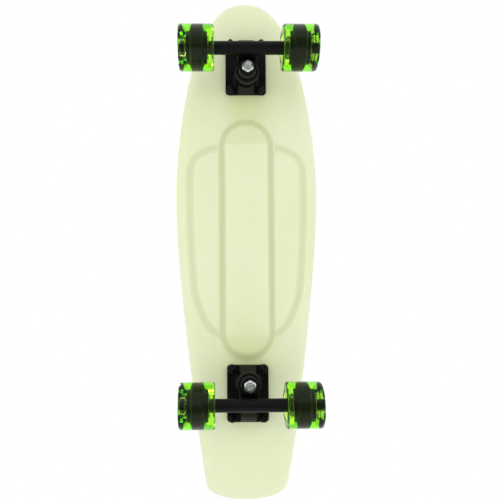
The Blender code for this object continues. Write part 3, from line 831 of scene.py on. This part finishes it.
def deck_mesh():
    """The moulding: underside with its panels, top sunk between the grip pads, rounded rim."""
    stations = deck_stations(DECK_ROWS)
    across = np.sin(np.linspace(-1.0, 1.0, DECK_COLUMNS) * math.pi / 2)
    x = np.repeat(stations, DECK_COLUMNS)
    y = np.outer(np.maximum(half_width(stations), TIP_HALF_WIDTH), across).ravel()
    edge = distance_to(np.column_stack([x, np.abs(y)]), outline_line())
    edge[half_width(x) <= TIP_HALF_WIDTH] = 0.0
    under = np.clip(edge / UNDER_ROUNDING, 0.0, 1.0)
    top = np.clip(edge / TOP_ROUNDING, 0.0, 1.0)
    thickness = DECK_TOP - MOUNT_Z
    low = RIM_HEIGHT - RIM_HEIGHT * np.sqrt(np.clip(1.0 - (1.0 - under) ** 2.2, 0, 1))
    high = RIM_HEIGHT + (thickness - RIM_HEIGHT) * np.sqrt(np.clip(1.0 - (1.0 - top) ** 2, 0, 1))
    high -= PAD_HEIGHT * ramp((edge - PAD_MARGIN + 3.5 * MM) / (1.2 * MM))
    drop, wall = panel_shape(x, y)
    bend = MOUNT_Z + rise(x)
    count = len(x)
    bottom_points = np.column_stack([x, y, bend + low - drop])
    top_points = np.column_stack([x, y, bend + high])

    index = np.arange(count).reshape(DECK_ROWS, DECK_COLUMNS)
    a, b = index[:-1, :-1].ravel(), index[1:, :-1].ravel()
    c, d = index[1:, 1:].ravel(), index[:-1, 1:].ravel()
    faces = np.vstack([np.column_stack([a, d, c, b]), np.column_stack([a, b, c, d]) + count])
    mesh = bpy.data.meshes.new("deck_moulding")
    mesh.from_pydata(np.vstack([bottom_points, top_points]).tolist(), [], faces.tolist())
    # painted shade along the centre line, strongest just inboard of each truck
    truck_shade = np.exp(-(y / (30 * MM)) ** 2) * (np.abs(rise(x)) < 20 * MM)
    near = np.zeros(count)
    for truck in TRUCKS:
        near = np.maximum(near, np.exp(-((x - truck.origin.x + truck.out * 30 * MM) / (62 * MM)) ** 2))
    # the first store holds the painted shade on the panels' walls, the second the painted shade round the
    # trucks
    store(mesh, "wall", np.concatenate([wall, np.zeros(count)]))
    store(mesh, "truck_shade", np.concatenate([truck_shade * near, np.zeros(count)]))
    bm = bmesh.new()
    bm.from_mesh(mesh)
    bmesh.ops.remove_doubles(bm, verts=bm.verts, dist=0.00002)
    bmesh.ops.dissolve_degenerate(bm, edges=bm.edges, dist=0.000001)
    bmesh.ops.recalc_face_normals(bm, faces=bm.faces)
    bm.to_mesh(mesh)
    bm.free()
    return mesh


def bolt_places():
    return [truck.place @ Vector((x, y, 0.0)) for truck in TRUCKS for x, y in BOLT_CORNERS]


def bolt_hole_cutter():
    """The eight countersunk holes as one cutter."""
    holes = []
    top, bottom = DECK_TOP + MM, MOUNT_Z - 3 * MM
    profile = [
        (0, top), (5.0 * MM, top), (5.0 * MM, DECK_TOP - 0.6 * MM),
        (2.75 * MM, DECK_TOP - 3.1 * MM), (2.75 * MM, bottom), (0, bottom),
    ]
    for spot in bolt_places():
        holes.append(moved(lathe(profile, 32), at(spot.x, spot.y, 0.0)))
    return joined(*holes)


def pad_points():
    """A point under each grip pad, on a square grid kept off the rim and the bolts."""
    along = np.arange(-38, 39) * PAD_PITCH
    across = np.arange(-11, 12) * PAD_PITCH
    x, y = (v.ravel() for v in np.meshgrid(along, across, indexing="ij"))
    flat = np.column_stack([x, np.abs(y)])
    edge = distance_to(flat, outline_line())
    keep = (np.abs(y) < half_width(x)) & (edge > PAD_MARGIN + PAD_SIZE / 2) & (np.abs(x) < NOSE_TIP)
    for spot in bolt_places():
        keep &= np.hypot(x - spot.x, y - spot.y) > 8.5 * MM
    x, y = x[keep], y[keep]
    z = DECK_TOP - PAD_DEPTH + rise(x)
    tilt = -np.arctan((rise(x + MM) - rise(x - MM)) / (2 * MM))
    mesh = bpy.data.meshes.new("pad_points")
    mesh.from_pydata(np.column_stack([x, y, z]).tolist(), [], [])
    store(mesh, "tilt", tilt)
    return mesh


def build_deck():
    shell = carved(deck_mesh(), cuts=[bolt_hole_cutter()])
    piece("deck_moulding", shell, "deck", "board", ["deck"], 50.0)
    pads = grown(
        "waffle", pad_points(), Pad_Size=PAD_SIZE, Pad_Height=PAD_DEPTH, Finish=MATERIALS["deck"]
    )
    piece("deck_grip_pads", softened(pads, 0.25 * MM, 1, 60.0), "deck", "board", (), 30.0)


# ---------------- trucks

SIDE_VIEW = Matrix.Rotation(math.radians(90.0), 4, "X")
FRONT_VIEW = Matrix.Rotation(math.radians(90.0), 4, "Z") @ Matrix.Rotation(math.radians(90.0), 4, "X")
PLATE_HALF = (37.0, 27.2)
PLATE_THICKNESS = 4.5 * MM
CAST = 0.62 * MM
BUSHING_BORE = 5.1 * MM


def baseplate_mesh():
    """Cast plate with the kingpin boss, the ramp, the pivot housing and spot-faced bolt holes."""
    px, py = PLATE_HALF
    outline = rounded(mm([(-px, -py), (px, -py), (px, py), (-px, py)]), 5.0 * MM, 6)
    plate = prism(outline, -GAP - PLATE_THICKNESS, -GAP)
    boss = moved(lathe(mm([
        (0, -2), (17.6, -2), (17.6, -4.9), (16.6, -6.2), (14.6, -8.4), (14.0, -11), (0, -11),
    ]), 72), at(KINGPIN_X, 0, 0))
    ramp_side = mm([(-36.6, -3.0), (-36.6, -5.4), (-29.5, -8.8), (-20.0, -8.8), (-20.0, -3.0)])
    ramp_body = prism(ramp_side, -10.7 * MM, 10.7 * MM, SIDE_VIEW)
    housing_side = rounded(mm([
        (14.5, -3.0), (14.5, -16.0), (16.5, -22.0), (26.5, -21.2), (31.6, -17.2), (36.5, -3.0),
    ]), 1.6 * MM)
    housing = prism(housing_side, -10.2 * MM, 10.2 * MM, SIDE_VIEW)
    ribs = [
        prism(mm([(-6, -3), (-6, -8), (15.0, -13), (15.0, -3)]), y - 1.3 * MM, y + 1.3 * MM, SIDE_VIEW)
        for y in (-9.0 * MM, 9.0 * MM)
    ]
    pad = mm([(0, -3), (6.4, -3), (6.0, -5.0), (0, -5.0)])
    corner_pads = [moved(lathe(pad, 40), at(x, y, 0)) for x, y in BOLT_CORNERS]
    cuts = [
        moved(tube(7.3 * MM, -26 * MM, 4.0 * MM), AT_PIVOT),
        moved(tube(8.7 * MM, -5.9 * MM, 2 * MM), at(KINGPIN_X, 0, 0)),
        moved(tube(5.06 * MM, -20 * MM, 2 * MM), at(KINGPIN_X, 0, 0)),
    ]
    for x, y in BOLT_CORNERS:
        cuts.append(moved(tube(2.75 * MM, -20 * MM, 2 * MM, 24), at(x, y, 0)))
        cuts.append(moved(tube(5.85 * MM, -12 * MM, -GAP - PLATE_THICKNESS, 40), at(x, y, 0)))
    made = carved(plate, [boss, ramp_body, housing, *ribs, *corner_pads], cuts, voxel=CAST, smooth=2)

    # painted highlight on the ramp and the pivot housing, faces turned towards the light
    def lit_ramp_and_housing(x, y, z):
        on_ramp = (x < -19 * MM) & (np.abs(y) < 10.6 * MM) & (z < -5.1 * MM)
        on_housing = (x > 15 * MM) & (np.abs(y) < 10.0 * MM) & (z < -5.6 * MM)
        return 0.7 * (on_ramp | on_housing)

    return painted_highlight(made, lit_ramp_and_housing)


def hanger_mesh():
    """Casting with the axle bar, neck, gussets, the ring round the kingpin and the pivot nose."""
    rx, rz = RING_CENTRE.x, RING_CENTRE.z
    ring = moved(lathe(mm([
        (0, 4.3), (13.2, 4.3), (13.8, 3.2), (14.8, 3.2), (15.4, 2.4), (15.4, -2.4), (14.8, -3.2),
        (13.8, -3.2), (13.2, -4.3), (0, -4.3),
    ]), 80), at(rx, 0, rz))
    bar = moved(tube(8.2 * MM, -HANGER_END_Y, HANGER_END_Y), AT_AXLE)
    neck_side = rounded(mm([
        (-9, -25), (-9, -33), (-4.2, -33.2), (-3.4, -45), (0, -54), (8, -54),
        (11.5, -45), (12.0, -32), (9.0, -20), (-0.5, -15.8), (-3, -24.8),
    ]), 1.5 * MM)
    neck = prism(neck_side, -12 * MM, 12 * MM, SIDE_VIEW)
    flare = prism(
        mm([(-19.5, -53), (-12, -46), (-12, -33), (12, -33), (12, -46), (19.5, -53)]),
        -2.5 * MM, 11.0 * MM, FRONT_VIEW,
    )
    web = prism(mm([(-43, -53), (-11, -35), (11, -35), (43, -53)]), 1.0 * MM, 8.0 * MM, FRONT_VIEW)
    nose = moved(lathe(mm([
        (0, 2.6), (1.6, 2.4), (3.2, 1.5), (4.3, 0.2), (4.6, -1.2), (4.6, -12), (8.0, -16.5),
        (9.0, -26.5), (0, -26.5),
    ]), 48), AT_PIVOT)
    cuts = [
        moved(tube(6.8 * MM, -8 * MM, 8 * MM), at(rx, 0, rz)),
        moved(tube(4.15 * MM, -60 * MM, 60 * MM, 32), AT_AXLE),
    ]
    made = carved(ring, [bar, neck, flare, web, nose], cuts, voxel=CAST, smooth=3)

    # painted highlight along the lower chamfer of the ring round the kingpin
    def ring_rim_highlight(x, y, z):
        edge = np.exp(-(((np.hypot(x - rx, y) - 15.0 * MM) / (0.7 * MM)) ** 2))
        return edge * (z < rz - 1.6 * MM) * (z > rz - 4.0 * MM) * (x < rx + 6 * MM)

    return painted_highlight(made, ring_rim_highlight)


def hex_nut(across, height, bore, collar, segments=48):
    """Lock nut up +Z: a hexagon with turned-off corners and a round collar for its insert."""
    corner = across / math.sqrt(3.0)
    sixths = [math.pi * k / 3 for k in range(6)]
    points = [(corner * math.cos(a), corner * math.sin(a)) for a in sixths]
    body = prism(points, 0.0, height)
    widest = corner - 0.035 * across
    slope = (corner - across / 2) * 1.1
    blank = lathe([
        (0, height), (across * 0.44, height), (widest, height - slope),
        (widest, slope * 0.5), (across / 2, 0.0), (0, 0.0),
    ], segments)
    nut = carved(body, keeps=[blank])
    outer = across / 2 - 0.5 * MM
    top = height + collar
    ring = lathe([
        (0, top), (outer - 0.9 * MM, top), (outer - 0.2 * MM, height + collar * 0.6),
        (outer, height - 0.3 * MM), (0, height - 0.3 * MM),
    ], segments)
    mouth = bore + 0.3 * (across / 2 - bore)
    bore_cut = lathe([
        (0, top + MM), (mouth, top + MM), (mouth, height), (bore, height), (bore, 0.5 * MM),
        (bore + 0.6 * MM, -0.1 * MM), (bore + 0.6 * MM, -MM), (0, -MM),
    ], 32)
    return softened(carved(nut, [ring], [bore_cut]), 0.18 * MM, 2, 32.0)


def insert_ring(outer, inner, low, high):
    """Nylon ring of a lock nut."""
    section = rounded([(inner, high), (outer, high), (outer, low), (inner, low)], 0.25 * MM, 2)
    return lathe(section, 40, closed=True)


def washer(outer, inner, low, high, dish=0.0):
    """A washer, its rim turned up by dish."""
    if dish:
        section = [
            (inner, high), (outer - 1.3 * MM, high), (outer - 1.0 * MM, high + dish), (outer, high + dish),
            (outer, low + 0.5 * MM), (outer - 0.5 * MM, low), (inner, low),
        ]
    else:
        section = [(inner, high), (outer, high), (outer, low), (inner, low)]
    return lathe(rounded(section, 0.22 * MM, 3), 72, closed=True)


def bushing(radius_low, radius_high, bulge, low, high):
    """A urethane ring with rounded edges and a slight belly."""
    wall = []
    for step in range(9):
        t = step / 8
        belly = bulge * math.sin(math.pi * t)
        wall.append((radius_high + (radius_low - radius_high) * t + belly, high + (low - high) * t))
    section = [(BUSHING_BORE, high), *wall, (BUSHING_BORE, low)]
    radii = [0.3 * MM, 1.2 * MM] + [0.0] * 7 + [1.2 * MM, 0.3 * MM]
    return lathe(rounded(section, radii, 4), 72, closed=True)


def kingpin_piece(truck):
    """Kingpin: round head in the boss, plain shank and threaded end with a chamfered tip."""
    low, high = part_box(truck.end + "_kingpin")
    length = high.z - low.z
    radius, core, thread_low = 4.76 * MM, 4.41 * MM, 38 * MM
    rod = lathe([
        (0, length), (core - 0.5 * MM, length), (core, length - 0.6 * MM), (core, thread_low),
        (radius, thread_low - 0.4 * MM), (radius, 0.0), (0, 0.0),
    ], 40)
    wound = thread(core + 0.1 * MM, thread_low, length - 0.8 * MM, 1.25 * MM, "pin")
    head = lathe(mm([(0, 5.0), (4.0, 5.0), (8.0, 4.6), (8.0, 0.3), (7.6, 0.0), (0, 0.0)]), 48)
    return moved(joined(rod, wound, head), at(KINGPIN_X, 0.0, high.z - MOUNT_Z) @ HALF_TURN)


def on_corners(mesh):
    """A black steel piece repeated at a plate's four bolts."""
    spacing = {"Spacing_X": 2 * BOLT_X, "Spacing_Y": 2 * BOLT_Y}
    return grown("pattern", mesh, Finish=MATERIALS["steel"], **spacing)


def bolt_set(truck):
    """Four countersunk bolts with cross recesses and threaded ends."""
    top = DECK_TOP - MOUNT_Z - 0.12 * MM
    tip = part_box(truck.end + "_mounting_bolt_1")[0].z - MOUNT_Z
    shank = lathe([
        (0, top), (4.3 * MM, top), (4.5 * MM, top - 0.2 * MM), (4.5 * MM, top - 0.5 * MM),
        (2.35 * MM, top - 2.8 * MM), (2.35 * MM, 0.0), (2.1 * MM, -0.3 * MM), (2.1 * MM, tip + 0.4 * MM),
        (1.7 * MM, tip), (0, tip),
    ], 32)
    cross = []
    for quarter in range(2):
        turn = Matrix.Rotation(quarter * math.pi / 2, 4, "Z")
        slot_outline = mm([(-2.6, 0.4), (-1.3, -1.9), (1.3, -1.9), (2.6, 0.4)])
        cross.append(prism(slot_outline, -0.5 * MM, 0.5 * MM, turn @ at(0, 0, top) @ SIDE_VIEW))
    bolt = carved(shank, cuts=cross)
    wound = thread(2.15 * MM, tip + 0.5 * MM, -2.0 * MM, 0.8 * MM, "steel", 0.22 * MM)
    return on_corners(joined(bolt, wound))


def nut_set():
    """Four small lock nuts hanging under the plate."""
    nut = moved(hex_nut(9.5 * MM, 3.9 * MM, 2.45 * MM, 1.0 * MM, 32), HALF_TURN)
    return on_corners(moved(nut, at(0, 0, -5.15 * MM)))


def build_truck(truck, shared):
    end, body = truck.end, truck.body

    def put(name, mesh, finish, ride_on, nodes=(), slot="black_steel", angle=40.0):
        return piece(f"{end}_{name}", moved(mesh, truck.place), finish, ride_on, nodes, angle)

    def own(name):
        return [f"{end}_{name}"]

    for casting, ride_on in (("baseplate", "board"), ("hanger", body)):
        put(casting + "_casting", shared[casting].copy(), "truck", ride_on, own(casting), "truck_metal", 50)

    section = mm([(0, 3.7), (7.0, 3.7), (7.0, -9.0), (5.0, -9.0), (5.0, 0.6), (3.2, 2.9), (0, 2.9)])
    radii = [r * MM for r in (0, 0.6, 0.4, 0.4, 0.5, 0.5, 0)]
    cup = moved(lathe(rounded(section, radii, 3, closed=False), 48), AT_PIVOT)
    put("pivot_cup_moulding", cup, "cup", "board", own("pivot_cup"), "cup_plastic")

    put("kingpin_bolt", kingpin_piece(truck), "pin", "board", own("kingpin"), "black_steel", 30)
    king = at(KINGPIN_X, 0, 0)
    bore = 5.0 * MM
    lower = washer(13.0 * MM, bore, -12.8 * MM, -11.3 * MM)
    put("lower_cup_washer", moved(lower, king), "steel", "board", own("lower_washer"))
    upper = moved(washer(10.8 * MM, bore, 0, 1.3 * MM, 1.2 * MM), at(0, 0, -45.4 * MM))
    put("upper_cup_washer", moved(upper, king), "steel", "board", own("upper_washer"))
    nut = moved(hex_nut(14.3 * MM, 6.0 * MM, 4.9 * MM, 1.4 * MM), HALF_TURN)
    put("kingpin_lock_nut", moved(nut, at(KINGPIN_X, 0, -45.6 * MM)), "zinc", "board",
        own("kingpin_nut"), "zinc_steel", 30)
    ring = insert_ring(5.9 * MM, 4.75 * MM, -52.2 * MM, -51.4 * MM)
    put("kingpin_nut_insert", moved(ring, king), "nylon", "board", (), "zinc_steel")

    lower_ring = bushing(12.0 * MM, 11.6 * MM, 0.6 * MM, -24.5 * MM, -12.9 * MM)
    upper_ring = bushing(9.7 * MM, 11.2 * MM, 0.5 * MM, -43.9 * MM, -33.5 * MM)
    for name, ring, bodies, heights in (
        ("lower_bushing", lower_ring, ("board", body), (-13.5 * MM, -24.0 * MM)),
        ("upper_bushing", upper_ring, (body, "board"), (-34.0 * MM, -43.4 * MM)),
    ):
        item = put(name + "_urethane", moved(ring, king), "bushing", None, (), "bushing_urethane")
        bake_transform(item)
        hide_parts(f"{end}_{name}")

    put("mounting_bolts", bolt_set(truck), "steel", "board",
        [f"{end}_mounting_bolt_{n}" for n in range(1, 5)], "black_steel", 30)
    put("mounting_lock_nuts", nut_set(), "steel", "board",
        [f"{end}_lock_nut_{n}" for n in range(1, 5)], "black_steel", 30)

    half = AXLE_END_Y
    start = CORE_OUTER_Y - 0.5 * MM
    end_profile = [
        (0, half), (3.1 * MM, half), (3.6 * MM, half - 0.7 * MM), (3.6 * MM, start),
        (3.95 * MM, start - 0.4 * MM),
    ]
    rod = lathe(end_profile + [(radius, -height) for radius, height in reversed(end_profile)], 40)
    threads = [
        moved(thread(3.72 * MM, start, half - 0.9 * MM, 1.0 * MM, "steel"), turn)
        for turn in (IDENTITY, HALF_TURN)
    ]
    put("axle_rod", moved(joined(rod, *threads), AT_AXLE), "steel", body, own("axle"), "black_steel", 30)


# ---------------- wheels

BEARING_WIDTH = 7.0 * MM
SEAT = 13.0


def tyre_mesh():
    """Clear urethane about the core: rounded lips, dished faces, colour in its depth."""
    r = WHEEL_RADIUS / MM
    inner, outer = WHEEL_INNER_Y / MM, WHEEL_OUTER_Y / MM
    core_in, core_out = CORE_INNER_Y / MM, CORE_OUTER_Y / MM
    bond = 0.15
    profile = [
        (SEAT - bond, core_out - 0.3), (14.8, core_out + 0.3), (16.9, core_out + 4.4), (20.8, outer - 0.8),
        (22.6, outer), (r - 1.2, outer - 0.3), (r, outer - 3.0),
        (r, inner + 2.8), (r - 1.2, inner + 0.3), (19.0, inner), (16.6, inner + 0.7),
        (15.2, core_in - 1.0), (SEAT - bond, core_in + 0.3),
        (SEAT - bond, 54.75), (20.0 - bond, 58.35), (20.0 - bond, 69.65), (SEAT - bond, 73.25),
    ]
    radii = [0.3, 0.6, 2.0, 1.5, 1.2, 2.0, 3.4, 3.2, 2.0, 1.5, 1.5, 0.6, 0.3, 0.0, 0.0, 0.0, 0.0]
    return lathe(rounded(mm(profile), [v * MM for v in radii], 6), 128, closed=True)


def core_mesh():
    """Moulded nylon core: bearing seats at both ends and a web that grips the urethane."""
    core_in, core_out = CORE_INNER_Y / MM, CORE_OUTER_Y / MM
    profile = [
        (11.1, core_out), (SEAT, core_out), (SEAT, 73.25), (20.0, 69.8), (20.0, 58.2), (SEAT, 54.75),
        (SEAT, core_in), (11.1, core_in), (11.1, core_in + 7.1), (8.5, core_in + 7.1),
        (8.5, core_out - 7.1), (11.1, core_out - 7.1),
    ]
    radii = [0.3, 0.4, 0.5, 0.8, 0.8, 0.5, 0.4, 0.3, 0.1, 0.3, 0.3, 0.1]
    return lathe(rounded(mm(profile), [v * MM for v in radii], 3), 96, closed=True)


def bearing_rings_mesh():
    """Inner and outer race with their ground faces and chamfers."""
    half = BEARING_WIDTH / 2 / MM
    outer = [(9.3, half), (10.98, half), (10.98, -half), (9.3, -half), (9.3, -2.0), (8.9, 0.0), (9.3, 2.0)]
    inner = [(4.05, half), (5.9, half), (5.9, 2.0), (6.3, 0.0), (5.9, -2.0), (5.9, -half), (4.05, -half)]
    sections = [rounded(mm(section), 0.25 * MM, 2) for section in (outer, inner)]
    return joined(*(lathe(section, 64, closed=True) for section in sections))


def bearing_shield_mesh():
    """The two rubber shields, each with a pressed groove."""
    section = rounded(mm([
        (5.98, 2.9), (6.5, 2.95), (6.9, 2.7), (8.2, 2.7), (8.6, 2.98), (9.25, 2.98), (9.25, 2.4), (5.98, 2.4),
    ]), 0.12 * MM, 2)
    return joined(*(moved(lathe(section, 64, closed=True), turn) for turn in (IDENTITY, HALF_TURN)))


def bearing_balls_mesh():
    """Seven balls between the races."""
    bm = bmesh.new()
    bmesh.ops.create_uvsphere(bm, u_segments=16, v_segments=10, radius=1.9 * MM)
    bmesh.ops.translate(bm, verts=bm.verts, vec=(7.5 * MM, 0, 0))
    return grown("ring", mesh_from_bmesh("ball", bm), Count=7, Finish=MATERIALS["bearing"])


def build_wheel(truck, side_name, shared):
    """Everything on one axle end; the side's sign is along the board's own Y."""
    name = f"{truck.end}_{side_name}"
    wheel = name + "_wheel"
    side = 1.0 if side_name == "left" else -1.0
    axle = truck.place @ AXLE_SPOT
    turn = Matrix.Translation(axle) @ Matrix.Rotation(math.radians(-90.0 * side), 4, "X")

    def put(label, mesh, finish, body, nodes=(), slot="black_steel", angle=40.0):
        return piece(f"{name}_{label}", moved(mesh, turn), finish, body, nodes, angle)

    tyre = put("tyre_urethane", shared["tyre"].copy(), "tyre", wheel, [name + "_tyre"], "green_urethane", 60)
    tyre.visible_diffuse = False
    put("core_moulding", shared["core"].copy(), "core", wheel, [name + "_core"], "core_plastic", 35)
    for label, distance in (
        ("inner", CORE_INNER_Y + BEARING_WIDTH / 2), ("outer", CORE_OUTER_Y - BEARING_WIDTH / 2),
    ):
        spot = at(0, 0, distance)
        put(f"{label}_bearing_races", moved(shared["races"].copy(), spot), "bearing", wheel,
            [f"{name}_{label}_bearing"], "bearing_steel", 35)
        put(f"{label}_bearing_shields", moved(shared["shields"].copy(), spot), "shield", wheel, (),
            "bearing_steel", 35)
        put(f"{label}_bearing_balls", moved(shared["balls"].copy(), spot), "bearing", wheel, (),
            "bearing_steel", 60)
    put("inner_speed_washer", washer(5.8 * MM, 4.02 * MM, HANGER_END_Y + 0.1 * MM, CORE_INNER_Y - 0.1 * MM),
        "steel", truck.body)
    put("outer_speed_washer", washer(5.8 * MM, 4.02 * MM, CORE_OUTER_Y + 0.1 * MM, CORE_OUTER_Y + 1.1 * MM),
        "steel", truck.body)
    nut = moved(hex_nut(12.7 * MM, 5.2 * MM, 4.0 * MM, 1.3 * MM), at(0, 0, CORE_OUTER_Y + 1.25 * MM))
    put("axle_lock_nut", nut, "steel", truck.body, [name + "_axle_nut"], "black_steel", 30)
    ring = insert_ring(4.9 * MM, 3.85 * MM, CORE_OUTER_Y + 7.2 * MM, CORE_OUTER_Y + 7.95 * MM)
    put("axle_nut_insert", ring, "nylon", truck.body, (), "black_steel")


# ---------------- floor, light and camera

def build_floor():
    """Plain pale floor that shows only from above and leaves the light from below alone."""
    bm = bmesh.new()
    bmesh.ops.create_grid(bm, x_segments=1, y_segments=1, size=4.0)
    mesh = mesh_from_bmesh("floor", bm)
    made, tree, shader = new_material("pale_floor", Roughness=0.7)
    pale, deeper = rgb(240, 240, 238), rgb(234, 234, 232)
    tone = effect(tree, "tone", Color=pale, Deep_Color=deeper, Scale=1.5, Amount=0.5)
    tree.links.new(tone, shader.inputs["Base Color"])
    back = new_node(tree, "ShaderNodeNewGeometry").outputs["Backfacing"]
    clear = new_node(tree, "ShaderNodeBsdfTransparent").outputs[0]
    both = new_node(tree, "ShaderNodeMixShader", None, i0=back, i1=shader.outputs[0], i2=clear)
    tree.links.new(both.outputs[0], tree.nodes["Material Output"].inputs["Surface"])
    mesh.materials.append(made)
    floor = add_object("floor", mesh)
    floor.visible_diffuse = False
    floor.visible_glossy = False
    floor.visible_transmission = False
    floor.visible_shadow = False


def build_world(under, below, above):
    """White all round, with the dark of the room straight under the board, where the viewer is."""
    world = bpy.data.worlds.new("studio")
    world.use_nodes = True
    tree = world.node_tree
    white = (1.0, 1.0, 1.0, 1.0)
    direction = new_node(tree, "ShaderNodeTexCoord").outputs["Generated"]
    upward = new_node(tree, "ShaderNodeSeparateXYZ", None, Vector=direction).outputs["Z"]
    sides = spread(tree, upward, -0.25, 0.3, below, above)
    strength = math_node(tree, "MINIMUM", sides, spread(tree, upward, -0.95, -0.85, under, below))
    paths = new_node(tree, "ShaderNodeLightPath").outputs
    overhead = math_node(tree, "MULTIPLY", paths["Is Diffuse Ray"], spread(tree, upward, 0.0, 0.1))
    shaded = math_node(tree, "MULTIPLY", strength, spread(tree, overhead, 0.0, 1.0, 1.0, 0.55))
    room = new_node(tree, "ShaderNodeBackground", None, Color=white, Strength=shaded)
    backdrop = new_node(tree, "ShaderNodeBackground", None, Color=white, Strength=1.0)
    seen = paths["Is Camera Ray"]
    both = new_node(tree, "ShaderNodeMixShader", None, i0=seen, i1=room.outputs[0], i2=backdrop.outputs[0])
    tree.links.new(both.outputs[0], tree.nodes["World Output"].inputs["Surface"])
    world.cycles.sampling_method = "NONE"
    SCENE.world = world


def area_light(name, place, target, size, power):
    lamp = bpy.data.lights.new(name, "AREA")
    lamp.shape = "DISK"
    lamp.size = size
    lamp.energy = power
    item = add_object(name, lamp)
    item.location = place
    item.rotation_euler = (Vector(target) - Vector(place)).to_track_quat("-Z", "Y").to_euler()


def build_camera():
    """Looks up at the underside from about seven tenths of a metre, the nose up in the frame."""
    to_board = Vector((31.17 * MM, 13.13 * MM, -686.08 * MM))
    turn = Euler((math.radians(-2.8), math.radians(0.79), math.radians(0.24))).to_matrix().to_4x4()
    board_in_view = Matrix(((0, 1, 0, 0), (1, 0, 0, 0), (0, 0, -1, MOUNT_Z), (0, 0, 0, 1)))
    data = bpy.data.cameras.new("camera")
    data.sensor_width = 36.0
    data.lens = 37.0
    data.shift_x = 0.0532
    data.shift_y = 0.0189
    camera = add_object("camera", data)
    camera.matrix_world = (Matrix.Translation(to_board) @ turn @ board_in_view).inverted()
    SCENE.camera = camera


build_deck()
truck_parts = {"baseplate": baseplate_mesh(), "hanger": hanger_mesh()}
wheel_parts = {
    "tyre": tyre_mesh(),
    "core": core_mesh(),
    "races": bearing_rings_mesh(),
    "shields": bearing_shield_mesh(),
    "balls": bearing_balls_mesh(),
}
for one in TRUCKS:
    build_truck(one, truck_parts)
    for side_name in ("left", "right"):
        build_wheel(one, side_name, wheel_parts)
build_floor()
build_world(0.3, 1.06, 1.0)
area_light("under_key", (0.5, -0.7, -2.2), (0.0, 0.0, 0.08), 1.4, 2.5)
area_light("over_key", (0.5, -0.9, 1.3), (0.0, 0.0, 0.05), 0.7, 8.5)
area_light("over_fill", (-0.9, 0.7, 1.0), (0.0, 0.0, 0.05), 1.2, 2.5)
build_camera()
SCENE.view_settings.view_transform = "Standard"
